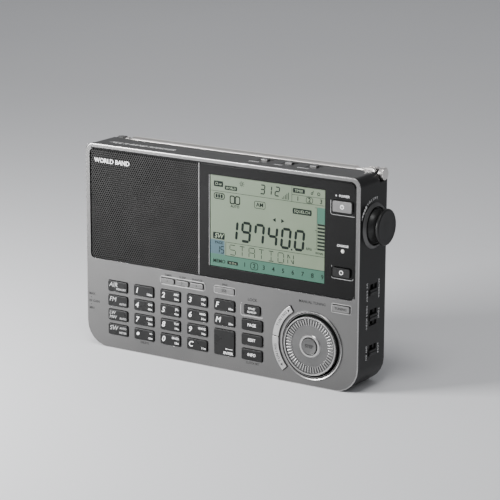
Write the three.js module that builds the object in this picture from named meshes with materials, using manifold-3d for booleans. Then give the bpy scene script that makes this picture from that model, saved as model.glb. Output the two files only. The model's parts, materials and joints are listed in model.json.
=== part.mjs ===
// Portable shortwave receiver: a slim case with a keypad, a display, a tuning dial and a telescopic aerial.
// Millimetres, +Z up, front towards -Y. The origin is the middle of the case's flat underside.

import * as THREE from 'three';
import { mergeVertices } from 'three/addons/utils/BufferGeometryUtils.js';
import Module from 'manifold-3d';

const wasm = await Module();
wasm.setup();

// Case
const caseWidth = 204;
const caseHeight = 134.5;
const caseDepth = 36;
const topRadius = 6;
const bottomRadius = 16;
const backRound = 4;
const wall = 2.4;
const gap = 0.3;
const panelThickness = 2.6;
const weld = 0.0005;

// Front opening for the grille and the window
const rimSide = 3.5;
const rimTop = 3.4;
const openingAboveStrip = 6.9;
const openingRadius = 3;
const grilleWidth = 84.2;
const grilleThickness = 1;
const grilleInset = 0.7;
const windowThickness = 1.8;
const windowInset = 0.5;

// Liquid crystal display
const lcdFromGrille = 8.3;
const lcdWidth = 83.5;
const lcdHeight = 58.6;
const lcdTopInset = 6.4;
const lcdInset = 0.4;
const lcdLip = 3;
const lcdBackDepth = 2.6;

// Keys
const keyWidth = 15.3;
const keyHeight = 7.1;
const keyRadius = 0.9;
const keyProud = 1;
const keySlack = 0.35;
const keyFlange = 0.8;
const keyFlangeThickness = 1.2;
const keyTravel = 1;
const firstColumn = 25.3;
const columnSpace = 5.3;
const bottomRow = 13.15;
const rowSpace = 2.55;
const scanKeySize = { width: 12, height: 5.8 };
const stripAboveKeys = 6.05;
const timerKeySize = { width: 10, height: 3.2 };
const timerPitch = 11.1;
const timerFirst = 64.6;
const ssbKeySize = { width: 14.8, height: 3.7 };
const tuneModeKeySize = { width: 12.4, height: 4.2 };
const windowKeyFromRight = 11.9;
const powerKeySize = { width: 13.4, height: 7 };
const powerKeyFromTop = 18.5;
const lightKeySize = { width: 11.6, height: 5.4 };
const lightKeyFromTop = 59;
const tuneModeAboveOpening = -5.9;

// Tuning dial, on the right of the keypad
const dialFromRight = 32.8;
const dialHeight = 26.2;
const dialRadius = 18.6;
const dialProud = 2.4;
const dialWell = 1.4;
const dialRingWidth = 1.9;
const dialRingProud = 0.8;
const dialRimWidth = 2.4;
const dialDish = 0.5;
const stepCollarWidth = 1.5;
const dialHubRadius = 8;
const stepRadius = 5.3;
const stepProud = 0.5;
const arcKeySpace = 1.5;
const arcKeyWidth = 4.4;
const arcKeyTop = 123;
const arcKeySplit = 174.5;
const arcKeyBottom = 223;
const arcKeyGapAngle = 0.9;

// Volume knob and slide switches on the right side
const knobHeight = 102.5;
const knobBack = 0.2;
const knobCapRadius = 11.3;
const knobCapThickness = 3;
const knobNeckRadius = 8;
const knobLength = 9;
const knobShaftRadius = 3;
const knobShaftInside = 8;
const collarRadius = 13.2;
const collarWidth = 1.2;
const collarProud = 0.5;
const switchPocketDepth = 1.3;
const switchPocketWidth = 9.2;
const switchNub = { width: 8.2, height: 3.6, proud: 0.3, stem: 2.6, stemDepth: 3.6 };
const switchRibHeight = 0.6;
const switchRibWidth = 0.7;
const switches = [
  { name: 'slide_switch_1', z: 61.2, up: 3, down: 0 },
  { name: 'slide_switch_2', z: 45.3, up: 3, down: 3 },
  { name: 'slide_switch_3', z: 22.9, up: 3, down: 0 },
];

// Top keys
const topKeySize = { width: 4.8, depth: 3.4 };
const topKeyFromFront = 16;
const topKeyFromRight = [77, 59.3, 41.6];
const topKeyProud = 0.7;
const topDish = { width: 9, depth: 6.4, sink: 0.5 };

// Gain wheel on the left side
const gainRadius = 10;
const gainThickness = 3.6;
const gainProud = 1.4;
const gainHeight = 30.5;
const gainBack = 0;
const gainSlotHalf = 8.4;

// Battery bay and its door at the back
const bayCentre = -46;
const bayWidth = 60;
const bayBottom = 12;
const bayHeight = 52;
const bayDepth = 14.6;
const doorLedge = 2;
const doorThickness = 1.8;
const bayWall = 2;
const doorRadius = 2;
const tabSize = { width: 10, height: 1.6, depth: 0.9 };

// Folding stand at the back
const standCentre = 41;
const standWidth = 88;
const standBottom = 17;
const standHeight = 56;
const standThickness = 2.2;
const standPinRadius = 1.1;
const standPinLength = 2;
const standFingerRadius = 7;

// Telescopic aerial in its channel along the top back edge
const channelFloor = 6.5;
const channelLeft = 9.6;
const channelLip = 2.9;
const channelLipDrop = 3;
const aerialDrop = 2;
const aerialFromFront = 28.6;
const drumRadius = 4;
const drumSlack = 0.5;
const drumEndProud = 1;
const drumCapLength = 3.2;
const drumNeckLength = 2.2;
const drumNeckRadius = 2.6;
const drumCollarLength = 1.9;
const bearingThickness = 1.6;
const forkLength = 7;
const forkSlot = 2.6;
const forkHeight = 6.2;
const tiltPinRadius = 1;
const tonguePlay = 0.3;
const eyeRadius = 3;
const shankRadius = 2.2;
const shankLength = 4;
const tubeRadius = 3.3;
const tubeWall = 0.3;
const tubePlay = 0.2;
const tubeSteps = 12;
const tubeLeftEnd = 19;
const sectionStagger = 0.8;
const sectionRightInset = 2;
const sectionCount = 4;
const tipRadius = 2.2;
const tipLength = 3.4;

// Inside
const matThickness = 1.2;
const boardThickness = 1.6;
const keyBoardWidth = 131;
const keyBoardBelowOpening = 2.6;
const boardMargin = 5;
const boardSpace = 0.8;
const boardClear = 3;
const boardCorner = 9;
const ferriteClear = 6;
const speakerRadius = 33.5;
const speakerFromLeft = 46;
const magnetRadius = 17;
const speakerRimDepth = 2.2;
const coneDepth = 7;
const basketDepth = 11;
const speakerDepth = 19;
const ferriteRadius = 4.4;
const ferriteLength = 100;
const ferriteFromTop = 17.5;

// Derived places
const left = -caseWidth / 2;
const right = caseWidth / 2;
const front = -caseDepth / 2;
const back = caseDepth / 2;
const panelBack = front + panelThickness;
const shellFront = panelBack + gap;
const openingLeft = left + rimSide;
const openingRight = right - rimSide;
const openingTop = caseHeight - rimTop;
const columnPitch = keyWidth + columnSpace;
const rowPitch = keyHeight + rowSpace;
const stripRow = bottomRow + 3 * rowPitch + keyHeight / 2 + stripAboveKeys;
const openingBottom = stripRow + openingAboveStrip;
const grilleRight = openingLeft + grilleWidth;
const lcdLeft = grilleRight + lcdFromGrille;
const lcdTop = openingTop - lcdTopInset;
const dialX = right - dialFromRight;
const arcKeyInner = dialRadius + dialWell + dialRingWidth + arcKeySpace;
const windowKeyX = right - windowKeyFromRight;
const keyFlangeFront = panelBack + gap;
const keyFlangeBack = keyFlangeFront + keyFlangeThickness;
const matFront = keyFlangeBack + keyTravel + gap;
const boardFront = matFront + matThickness + gap;
const mainBoardFront = boardFront + boardThickness + boardSpace;
const keyBoardTop = openingBottom - keyBoardBelowOpening;
const aerialY = front + aerialFromFront;
const aerialZ = caseHeight - aerialDrop;
const drumEnd = right + drumEndProud;
const neckEnd = drumEnd - drumCapLength;
const collarEnd = neckEnd - drumNeckLength;
const forkRoot = collarEnd - drumCollarLength;
const tiltX = forkRoot - forkLength + forkHeight / 2;
const shankStart = tiltX - forkHeight / 2 - 0.6;

const finishes = {
  silver: { color: 0x9ea0a0, roughness: 0.42, metalness: 0.6 },
  black: { color: 0x1b1b1c, roughness: 0.5, metalness: 0 },
  gloss: { color: 0x0d0d0f, roughness: 0.12, metalness: 0 },
  grille: { color: 0x2b2b2c, roughness: 0.6, metalness: 0.4 },
  lcd: { color: 0x9aa596, roughness: 0.3, metalness: 0 },
  chrome: { color: 0xd8d8d2, roughness: 0.15, metalness: 1 },
  board: { color: 0x24552f, roughness: 0.6, metalness: 0 },
  rubber: { color: 0x3a3a3c, roughness: 0.9, metalness: 0 },
  ferrite: { color: 0x2e2c2a, roughness: 0.8, metalness: 0.2 },
};

const receiver = new THREE.Group();

function finish(name) {
  return new THREE.MeshStandardMaterial(finishes[name]);
}

// Turns a closed geometry into a solid, with its faces pointing outwards.
function toSolid(geometry) {
  const bare = geometry.clone();
  bare.deleteAttribute('normal');
  bare.deleteAttribute('uv');
  const merged = mergeVertices(bare, weld);
  const points = merged.attributes.position.array;
  const triangles = [];
  let volume = 0;
  for (let i = 0; i < merged.index.count; i += 3) {
    const [a, b, c] = [0, 1, 2].map((k) => merged.index.getX(i + k));
    if (a === b || b === c || c === a) continue;
    triangles.push([a, b, c]);
    const [p, q, r] = [a, b, c].map((k) => new THREE.Vector3().fromArray(points, 3 * k));
    volume += p.dot(q.cross(r));
  }
  const outward = volume > 0 ? triangles : triangles.map(([a, b, c]) => [a, c, b]);
  const mesh = new wasm.Mesh({
    numProp: 3,
    vertProperties: new Float32Array(points),
    triVerts: new Uint32Array(outward.flat()),
  });
  return new wasm.Manifold(mesh);
}

function join(first, ...others) {
  return others.reduce((whole, piece) => whole.add(piece), first);
}

function cut(first, ...tools) {
  return tools.reduce((whole, tool) => whole.subtract(tool), first);
}

function addPart(name, solid, finishName, x = 0, y = 0, z = 0) {
  const data = solid.getMesh();
  const geometry = new THREE.BufferGeometry();
  geometry.setAttribute('position', new THREE.BufferAttribute(data.vertProperties, 3));
  geometry.setIndex(new THREE.BufferAttribute(data.triVerts, 1));
  geometry.computeVertexNormals();
  const mesh = new THREE.Mesh(geometry, finish(finishName));
  mesh.name = name;
  mesh.position.set(x, y, z);
  receiver.add(mesh);
}

// Points along an arc, angles in degrees.
function arc(x, z, radius, from, to, steps) {
  const points = [];
  for (let i = 0; i <= steps; i += 1) {
    const angle = THREE.MathUtils.degToRad(from + ((to - from) * i) / steps);
    points.push(new THREE.Vector2(x + radius * Math.cos(angle), z + radius * Math.sin(angle)));
  }
  return points;
}

// A rectangle with rounded corners; the two lower corners may have another radius.
function outline(x0, z0, x1, z1, radius, steps = 2, lowerRadius = radius) {
  return [
    ...arc(x0 + lowerRadius, z0 + lowerRadius, lowerRadius, 180, 270, steps),
    ...arc(x1 - lowerRadius, z0 + lowerRadius, lowerRadius, 270, 360, steps),
    ...arc(x1 - radius, z1 - radius, radius, 0, 90, steps),
    ...arc(x0 + radius, z1 - radius, radius, 90, 180, steps),
  ];
}

function centredOutline(x, z, width, height, radius, steps = 2) {
  return outline(x - width / 2, z - height / 2, x + width / 2, z + height / 2, radius, steps);
}

// Extrudes an outline in the front view from y0 back to y1.
function plate(points, y0, y1, holes = []) {
  const shape = new THREE.Shape(points);
  for (const hole of holes) shape.holes.push(new THREE.Path(hole));
  const geometry = new THREE.ExtrudeGeometry(shape, { depth: y1 - y0, bevelEnabled: false });
  geometry.rotateX(Math.PI / 2);
  geometry.translate(0, y1, 0);
  return toSolid(geometry);
}

// As plate, with its back edge rounded.
function roundedPlate(points, y0, y1, round) {
  const geometry = new THREE.ExtrudeGeometry(new THREE.Shape(points), {
    depth: y1 - y0,
    bevelThickness: round,
    bevelSize: round,
    bevelOffset: -round,
    bevelSegments: 4,
  });
  geometry.rotateX(Math.PI / 2);
  geometry.translate(0, y1 - round, 0);
  return cut(toSolid(geometry), box(2 * left, 2 * right, y0 - 2 * round, y0, -caseHeight, 2 * caseHeight));
}

function box(x0, x1, y0, y1, z0, z1) {
  const geometry = new THREE.BoxGeometry(x1 - x0, y1 - y0, z1 - z0);
  geometry.translate((x0 + x1) / 2, (y0 + y1) / 2, (z0 + z1) / 2);
  return toSolid(geometry);
}

// Turned solid about the Y axis; the profile is pairs of radius and y.
function turned(profile, steps) {
  const points = profile.map(([radius, y]) => new THREE.Vector2(radius, y));
  return toSolid(new THREE.LatheGeometry(points, steps));
}

// The same about the X axis; the profile is pairs of radius and x.
function turnedX(profile, steps) {
  const points = profile.map(([radius, x]) => new THREE.Vector2(radius, -x));
  const geometry = new THREE.LatheGeometry(points, steps);
  geometry.rotateZ(Math.PI / 2);
  return toSolid(geometry);
}

function rod(radius, x0, x1, steps) {
  return turnedX([[0, x0], [radius, x0], [radius, x1], [0, x1]], steps);
}

// Key list: name, centre, size and finish. Columns count from the left, rows from the bottom.
function keyList() {
  const column = (index) => left + firstColumn + index * columnPitch;
  const row = (index) => bottomRow + index * rowPitch;
  const keys = [];
  const grid = [
    ['key_sw', 'key_lw_mw', 'key_fm', 'key_air'],
    ['key_dot', 'key_7', 'key_4', 'key_1'],
    ['key_0', 'key_8', 'key_5', 'key_2'],
    ['key_c', 'key_9', 'key_6', 'key_3'],
    [null, null, 'key_m', 'key_f'],
    ['key_info', 'key_edit', 'key_page', null],
  ];
  grid.forEach((names, c) => names.forEach((name, r) => {
    if (name) keys.push({ name, x: column(c), z: row(r), width: keyWidth, height: keyHeight, finish: 'black' });
  }));
  const enterHeight = keyHeight + rowPitch;
  keys.push({
    name: 'key_enter', x: column(4), z: row(0.5), width: keyWidth, height: enterHeight, finish: 'black',
  });
  keys.push({ name: 'key_scan', x: column(5), z: row(3), ...scanKeySize, finish: 'black' });
  for (let i = 0; i < 3; i += 1) {
    const x = left + timerFirst + i * timerPitch;
    const flangeX = (timerPitch - timerKeySize.width - gap) / 2;
    keys.push({ name: `key_timer_${i + 1}`, x, z: stripRow, ...timerKeySize, flangeX, finish: 'silver' });
  }
  keys.push({ name: 'key_ssb', x: column(4), z: stripRow, ...ssbKeySize, finish: 'silver' });
  const modeZ = openingBottom + tuneModeAboveOpening;
  keys.push({ name: 'key_tune_mode', x: windowKeyX, z: modeZ, ...tuneModeKeySize, finish: 'silver' });
  return keys;
}

function windowKeyList() {
  return [
    { name: 'key_power', x: windowKeyX, z: caseHeight - powerKeyFromTop, ...powerKeySize, finish: 'silver' },
    { name: 'key_light', x: windowKeyX, z: caseHeight - lightKeyFromTop, ...lightKeySize, finish: 'black' },
  ];
}

function keyHole(key) {
  const width = key.width + 2 * keySlack;
  const height = key.height + 2 * keySlack;
  return centredOutline(key.x, key.z, width, height, keyRadius + keySlack);
}

function arcOutline(inner, outer, from, to) {
  const steps = 10;
  return [...arc(dialX, dialHeight, outer, from, to, steps), ...arc(dialX, dialHeight, inner, to, from, steps)];
}

function arcKeyOutline(from, to, grow) {
  const turn = THREE.MathUtils.radToDeg(grow / arcKeyInner);
  return arcOutline(arcKeyInner - grow, arcKeyInner + arcKeyWidth + grow, from - turn, to + turn);
}

function buildFrontPanel() {
  const edge = outline(left, 0, right, caseHeight, topRadius, 6, bottomRadius);
  const holes = keyList().map(keyHole);
  holes.push(outline(openingLeft, openingBottom, openingRight, openingTop, openingRadius, 3));
  holes.push(arc(dialX, dialHeight, dialRadius + dialWell, 0, 360, 48).slice(0, -1));
  holes.push(arcKeyOutline(arcKeyTop, arcKeyBottom, keySlack));
  const sheet = plate(edge, front, panelBack, holes);
  const inner = dialRadius + dialWell;
  const outer = inner + dialRingWidth;
  const top = front - dialRingProud;
  const ring = turned([[inner, panelBack], [outer, panelBack], [outer, top], [inner, top], [inner, panelBack]], 48);
  addPart('front_panel', join(sheet, ring.translate(dialX, 0, dialHeight)), 'silver');
}

function buildGrille() {
  const y0 = front + grilleInset;
  const edge = outline(
    openingLeft + gap, openingBottom + gap, grilleRight, openingTop - gap, openingRadius - gap,
  );
  addPart('speaker_grille', plate(edge, y0, y0 + grilleThickness), 'grille');
}

function buildWindow() {
  const y0 = front + windowInset;
  const edge = outline(
    grilleRight + gap, openingBottom + gap, openingRight - gap, openingTop - gap, openingRadius - gap,
  );
  const lcdHole = outline(lcdLeft, lcdTop - lcdHeight, lcdLeft + lcdWidth, lcdTop, 0.5, 1);
  const holes = windowKeyList().map(keyHole);
  addPart('display_window', plate(edge, y0, y0 + windowThickness, [lcdHole, ...holes]), 'gloss');
}

function buildLcd() {
  const y0 = front + windowInset + lcdInset;
  const y1 = front + windowInset + windowThickness + gap;
  const x0 = lcdLeft + gap;
  const x1 = lcdLeft + lcdWidth - gap;
  const z0 = lcdTop - lcdHeight + gap;
  const z1 = lcdTop - gap;
  const face = box(x0, x1, y0, y1 + 0.1, z0, z1);
  const body = box(x0 - lcdLip, x1 + lcdLip, y1, y1 + lcdBackDepth, z0 - lcdLip, z1 + lcdLip);
  addPart('lcd_panel', join(face, body), 'lcd');
}

// A key has a cap that stands proud of the panel, and a flange that keeps it behind the panel.
function keySolid({ width, height, flangeX = keyFlange }) {
  const cap = plate(centredOutline(0, 0, width, height, keyRadius), -keyProud, keyFlangeBack - front);
  const rim = centredOutline(0, 0, width + 2 * flangeX, height + 2 * keyFlange, keyRadius);
  return join(cap, plate(rim, keyFlangeFront - front, keyFlangeBack - front));
}

function buildKeys() {
  for (const key of [...keyList(), ...windowKeyList()]) {
    addPart(key.name, keySolid(key), key.finish, key.x, front, key.z);
  }
}

function buildArcKeys() {
  const spans = [
    ['tune_up_key', arcKeyTop, arcKeySplit - arcKeyGapAngle / 2],
    ['tune_down_key', arcKeySplit + arcKeyGapAngle / 2, arcKeyBottom],
  ];
  for (const [name, from, to] of spans) {
    const cap = plate(arcKeyOutline(from, to, 0), front - keyProud, keyFlangeBack);
    const rim = plate(arcOutline(
      arcKeyInner - keyFlange, arcKeyInner + arcKeyWidth + keyFlange, from, to,
    ), keyFlangeFront, keyFlangeBack);
    addPart(name, join(cap, rim), 'silver');
  }
}

function buildDial() {
  const face = -dialProud;
  const hubBack = matFront - front;
  const discBack = panelThickness;
  const bore = stepRadius + gap;
  const profile = [
    [bore, face], [bore + stepCollarWidth, face], [bore + stepCollarWidth + dialDish, face + dialDish],
    [dialRadius - dialRimWidth, face + dialDish], [dialRadius - dialRimWidth + 2 * dialDish, face],
    [dialRadius - dialDish, face], [dialRadius, face + dialDish], [dialRadius, discBack],
    [dialHubRadius, discBack], [dialHubRadius, hubBack], [bore, hubBack], [bore, face],
  ];
  addPart('tuning_dial', turned(profile, 48), 'silver', dialX, front, dialHeight);
  const stepFace = face - stepProud;
  const stepProfile = [
    [0, stepFace + 0.25], [stepRadius - 1.6, stepFace], [stepRadius - 0.4, stepFace],
    [stepRadius, stepFace + 0.4], [stepRadius, hubBack], [0, hubBack],
  ];
  addPart('step_button', turned(stepProfile, 32), 'silver', dialX, front, dialHeight);
}

function switchCuts(entry) {
  const half = switchNub.height / 2 + gap;
  const pocket = box(
    right - switchPocketDepth, right + 1, -switchPocketWidth / 2, switchPocketWidth / 2,
    entry.z - half - entry.down, entry.z + half + entry.up,
  );
  const stemHalf = switchNub.stem / 2 + gap;
  const slot = box(
    right - 2 * wall, right, -stemHalf, stemHalf, entry.z - stemHalf - entry.down, entry.z + stemHalf + entry.up,
  );
  return [pocket, slot];
}

function buildSwitches() {
  const { width, height, proud, stem, stemDepth } = switchNub;
  const floor = -switchPocketDepth + gap;
  for (const entry of switches) {
    const cap = box(floor, proud, -width / 2, width / 2, -height / 2, height / 2);
    const rib = box(0, proud + switchRibHeight, -width / 2, width / 2, -switchRibWidth / 2, switchRibWidth / 2);
    const post = box(floor - stemDepth, proud / 2, -stem / 2, stem / 2, -stem / 2, stem / 2);
    addPart(entry.name, join(cap, rib, post), 'black', right, 0, entry.z);
  }
}

function topKeyPlaces() {
  return topKeyFromRight.map((offset) => ({ x: right - offset, y: front + topKeyFromFront }));
}

function topKeyCuts(place) {
  const { width, depth } = topKeySize;
  const hole = box(
    place.x - width / 2 - keySlack, place.x + width / 2 + keySlack,
    place.y - depth / 2 - keySlack, place.y + depth / 2 + keySlack, caseHeight - 2 * wall, caseHeight + 1,
  );
  const dish = box(
    place.x - topDish.width / 2, place.x + topDish.width / 2,
    place.y - topDish.depth / 2, place.y + topDish.depth / 2, caseHeight - topDish.sink, caseHeight + 1,
  );
  return [hole, dish];
}

function buildTopKeys() {
  const { width, depth } = topKeySize;
  const flangeTop = -wall - gap;
  const flangeBottom = flangeTop - keyFlangeThickness;
  topKeyPlaces().forEach((place, index) => {
    const cap = box(-width / 2, width / 2, -depth / 2, depth / 2, flangeBottom, topKeyProud);
    const rim = box(
      -width / 2 - keyFlange, width / 2 + keyFlange, -depth / 2 - keyFlange, depth / 2 + keyFlange,
      flangeBottom, flangeTop,
    );
    addPart(`top_key_${index + 1}`, join(cap, rim), 'silver', place.x, place.y, caseHeight);
  });
}

function buildKnob() {
  const root = collarProud + gap;
  const capFront = knobLength - knobCapThickness;
  const profile = [
    [0, -wall - knobShaftInside], [knobShaftRadius, -wall - knobShaftInside], [knobShaftRadius, root],
    [knobNeckRadius + 0.8, root], [knobNeckRadius, root + 1.4], [knobNeckRadius, capFront - 1],
    [knobCapRadius - 0.8, capFront], [knobCapRadius, capFront + 0.8], [knobCapRadius, knobLength - 1],
    [knobCapRadius - 1, knobLength], [0, knobLength],
  ];
  addPart('volume_knob', turnedX(profile, 32), 'black', right, knobBack, knobHeight);
}

function gainCentreX() {
  return left - gainProud + gainRadius;
}

function buildGainWheel() {
  const half = gainThickness / 2;
  const profile = [
    [0, -half], [gainRadius - 0.5, -half], [gainRadius, -half + 0.5],
    [gainRadius, half - 0.5], [gainRadius - 0.5, half], [0, half],
  ];
  addPart('gain_wheel', turned(profile, 36), 'black', gainCentreX(), gainBack, gainHeight);
}

// Sizes that the battery bay, its ledge and its door share.
function baySizes() {
  const x0 = bayCentre - bayWidth / 2;
  const x1 = bayCentre + bayWidth / 2;
  const z0 = bayBottom;
  const z1 = bayBottom + bayHeight;
  return { x0, x1, z0, z1, y0: back - doorThickness - gap - bayDepth, seat: back - doorThickness - gap };
}

function bayBlock() {
  const { x0, x1, z0, z1, y0 } = baySizes();
  const grow = doorLedge + gap + bayWall;
  return box(x0 - grow, x1 + grow, y0 - bayWall, back - wall / 2, z0 - grow, z1 + grow);
}

function bayCuts() {
  const { x0, x1, z0, z1, y0, seat } = baySizes();
  const ledge = doorLedge + gap;
  const pocket = plate(
    outline(x0 - ledge, z0 - ledge, x1 + ledge, z1 + ledge, doorRadius + gap), seat, back + 1,
  );
  return [box(x0, x1, y0, back + 1, z0, z1), pocket];
}

function buildDoor() {
  const { x0, x1, z0, z1 } = baySizes();
  const sheet = plate(
    outline(x0 - doorLedge, z0 - doorLedge, x1 + doorLedge, z1 + doorLedge, doorRadius), back - doorThickness, back,
  );
  const tab = box(
    bayCentre - tabSize.width / 2, bayCentre + tabSize.width / 2,
    back - doorThickness - tabSize.depth, back - doorThickness + 0.2,
    z1 - gap - tabSize.height, z1 - gap,
  );
  addPart('battery_door', join(sheet, tab), 'black');
}

// The stand lies in a pocket and turns on two pins at its top edge.
function standSizes() {
  const x0 = standCentre - standWidth / 2;
  const x1 = standCentre + standWidth / 2;
  const z1 = standBottom + standHeight;
  const pinY = back - standThickness / 2;
  return { x0, x1, z0: standBottom, z1, y0: back - standThickness, pinY, pinZ: z1 - standThickness / 2 };
}

function standPin(x0, x1, radius) {
  const { pinY, pinZ } = standSizes();
  return rod(radius, x0, x1, 12).translate(0, pinY, pinZ);
}

function standBlock() {
  const { x0, x1, z0, z1, y0 } = standSizes();
  const side = gap + standPinLength + wall;
  return box(x0 - side, x1 + side, y0 - gap - wall, back - wall / 2, z0 - wall - gap, z1 + wall + gap);
}

function standCuts() {
  const { x0, x1, z0, z1, y0 } = standSizes();
  const reach = standPinLength + gap;
  const pocket = box(x0 - gap, x1 + gap, y0 - gap, back + 1, z0 - gap, z1 + gap);
  const fingers = new THREE.CylinderGeometry(standFingerRadius, standFingerRadius, wall, 24);
  fingers.translate(standCentre, y0 - gap + wall / 2, z0);
  return [pocket, toSolid(fingers), standPin(x0 - reach, x1 + reach, standPinRadius + gap)];
}

function buildStand() {
  const { x0, x1, z0, z1, y0, pinZ } = standSizes();
  const leaf = box(x0, x1, y0, back, z0, pinZ);
  const edge = standPin(x0, x1, standThickness / 2);
  const pins = standPin(x0 - standPinLength, x1 + standPinLength, standPinRadius - 0.1);
  const nail = new THREE.CylinderGeometry(standFingerRadius - 2, standFingerRadius - 2, 2 * standThickness, 24);
  nail.translate(standCentre, y0, z0 - 1);
  addPart('tilt_stand', cut(join(leaf, edge, pins), toSolid(nail)), 'black');
}

// Solid under the aerial's channel, which closes the case there.
function channelBlock() {
  const y0 = aerialY - drumRadius - drumSlack - wall;
  return box(left, right, y0, back, caseHeight - channelFloor - wall, caseHeight);
}

function channelCuts() {
  const floor = caseHeight - channelFloor;
  const y0 = aerialY - drumRadius - drumSlack;
  const bearing = neckEnd - (drumNeckLength + bearingThickness) / 2;
  const x0 = left + channelLeft;
  const high = caseHeight + drumRadius;
  return [
    box(x0, bearing, y0, back - channelLip, floor, high),
    box(bearing + bearingThickness, right + 1, y0, back - channelLip, floor, high),
    box(x0, right + 1, back - channelLip - 1, back + 1, caseHeight - channelLipDrop, high),
    box(bearing - 1, right, aerialY - drumNeckRadius - gap, aerialY + drumNeckRadius + gap, aerialZ, high),
    rod(drumNeckRadius + gap, bearing - 1, right, 24).translate(0, aerialY, aerialZ),
    ...tipGrooveCuts(x0, high),
  ];
}

// An open groove through the left end, which lets the sections slide out while the aerial lies in its channel.
function tipGrooveCuts(x1, high) {
  const radius = tubeRadius - tubeWall - tubePlay + gap;
  const round = rod(radius, left - 1, x1 + 1, 24).translate(0, aerialY, aerialZ);
  return [round, box(left - 1, x1 + 1, aerialY - radius, aerialY + radius, aerialZ, high)];
}

function knobCuts() {
  const hole = rod(knobShaftRadius + gap, right - 2 * wall, right + collarProud + 1, 24);
  const well = rod(collarRadius - collarWidth, right - 0.01, right + collarProud + 1, 32);
  return [hole.translate(0, knobBack, knobHeight), well.translate(0, knobBack, knobHeight)];
}

function buildRearCase() {
  const inset = gap;
  const edge = outline(
    left + inset, 0, right - inset, caseHeight - inset, topRadius - inset, 6, bottomRadius - inset,
  );
  const hollow = outline(
    left + wall, wall, right - wall, caseHeight - wall, topRadius - wall, 4, bottomRadius - wall,
  );
  const outside = roundedPlate(edge, shellFront, back, backRound);
  const shell = cut(outside, roundedPlate(hollow, shellFront - 1, back - wall, backRound / 2));
  const collar = rod(collarRadius, right - wall, right + collarProud, 32).translate(0, knobBack, knobHeight);
  const blocks = [bayBlock(), standBlock(), channelBlock()].map((block) => block.intersect(outside));
  const gainSlot = box(
    left - 1, left + 2 * wall, gainBack - gainThickness / 2 - gap, gainBack + gainThickness / 2 + gap,
    gainHeight - gainSlotHalf, gainHeight + gainSlotHalf,
  );
  const cuts = [
    ...bayCuts(), ...standCuts(), ...channelCuts(), ...knobCuts(), gainSlot,
    ...switches.flatMap(switchCuts), ...topKeyPlaces().flatMap(topKeyCuts),
  ];
  addPart('rear_case', cut(join(shell, collar, ...blocks), ...cuts), 'black');
}

function buildInside() {
  const boardLeft = left + wall + boardMargin;
  const boardRight = boardLeft + keyBoardWidth;
  const boardEdge = outline(boardLeft, wall + boardClear, boardRight, keyBoardTop, 1, 1, boardCorner);
  addPart('key_mat', plate(boardEdge, matFront, matFront + matThickness), 'rubber');
  addPart('key_board', plate(boardEdge, boardFront, boardFront + boardThickness), 'board');
  const mainLeft = grilleRight + boardClear;
  const mainRight = right - wall - boardMargin;
  const mainEdge = [
    [mainLeft, keyBoardTop + 1], [boardRight + boardClear, keyBoardTop + 1],
    [boardRight + boardClear, bottomRadius],
    [mainRight, bottomRadius], [mainRight, caseHeight - wall - boardMargin],
    [mainLeft, caseHeight - wall - boardMargin],
  ].map(([x, z]) => new THREE.Vector2(x, z));
  addPart('main_board', plate(mainEdge, mainBoardFront, mainBoardFront + boardThickness), 'board');
  const ferriteX = mainRight - ferriteClear - ferriteLength;
  const ferriteY = mainBoardFront + boardThickness + ferriteRadius + ferriteClear;
  const ferrite = rod(ferriteRadius, 0, ferriteLength, 16);
  addPart('ferrite_antenna', ferrite, 'ferrite', ferriteX, ferriteY, caseHeight - ferriteFromTop);
}

function buildSpeaker() {
  const rim = panelBack + gap;
  const profile = [
    [0, rim + coneDepth], [speakerRadius - 6, rim + 1.2], [speakerRadius - 2, rim], [speakerRadius, rim],
    [speakerRadius, rim + speakerRimDepth], [speakerRadius - 3, rim + speakerRimDepth],
    [magnetRadius + 1, rim + basketDepth], [magnetRadius, rim + basketDepth],
    [magnetRadius, rim + speakerDepth], [0, rim + speakerDepth],
  ];
  const z = (openingBottom + openingTop) / 2;
  addPart('speaker', turned(profile, 32), 'black', left + speakerFromLeft, 0, z);
}

// Swivel: a drum that turns in the bearing web, with a fork for the tilting rod.
function buildSwivel() {
  const drum = turnedX([
    [0, forkRoot], [drumRadius, forkRoot], [drumRadius, collarEnd], [drumNeckRadius, collarEnd],
    [drumNeckRadius, neckEnd], [drumRadius, neckEnd], [drumRadius, drumEnd - 0.5],
    [drumRadius - 0.5, drumEnd], [0, drumEnd],
  ], 24);
  const half = forkHeight / 2;
  const fork = box(tiltX, forkRoot + 0.2, -half, half, -half, half);
  const nose = new THREE.CylinderGeometry(half, half, forkHeight, 24);
  nose.translate(tiltX, 0, 0);
  const slot = box(tiltX - 2 * half, forkRoot - 0.6, -forkSlot / 2, forkSlot / 2, -2 * half, 2 * half);
  const pin = new THREE.CylinderGeometry(tiltPinRadius, tiltPinRadius, forkHeight, 16);
  pin.translate(tiltX, 0, 0);
  const solid = join(cut(join(drum, fork, toSolid(nose)), slot), toSolid(pin));
  addPart('antenna_swivel', solid, 'chrome', 0, aerialY, aerialZ);
}

function tubeProfile(outer, x0, x1) {
  const inner = outer - tubeWall;
  return [[inner, x0], [outer, x0], [outer, x1], [inner, x1], [inner, x0]];
}

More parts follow.
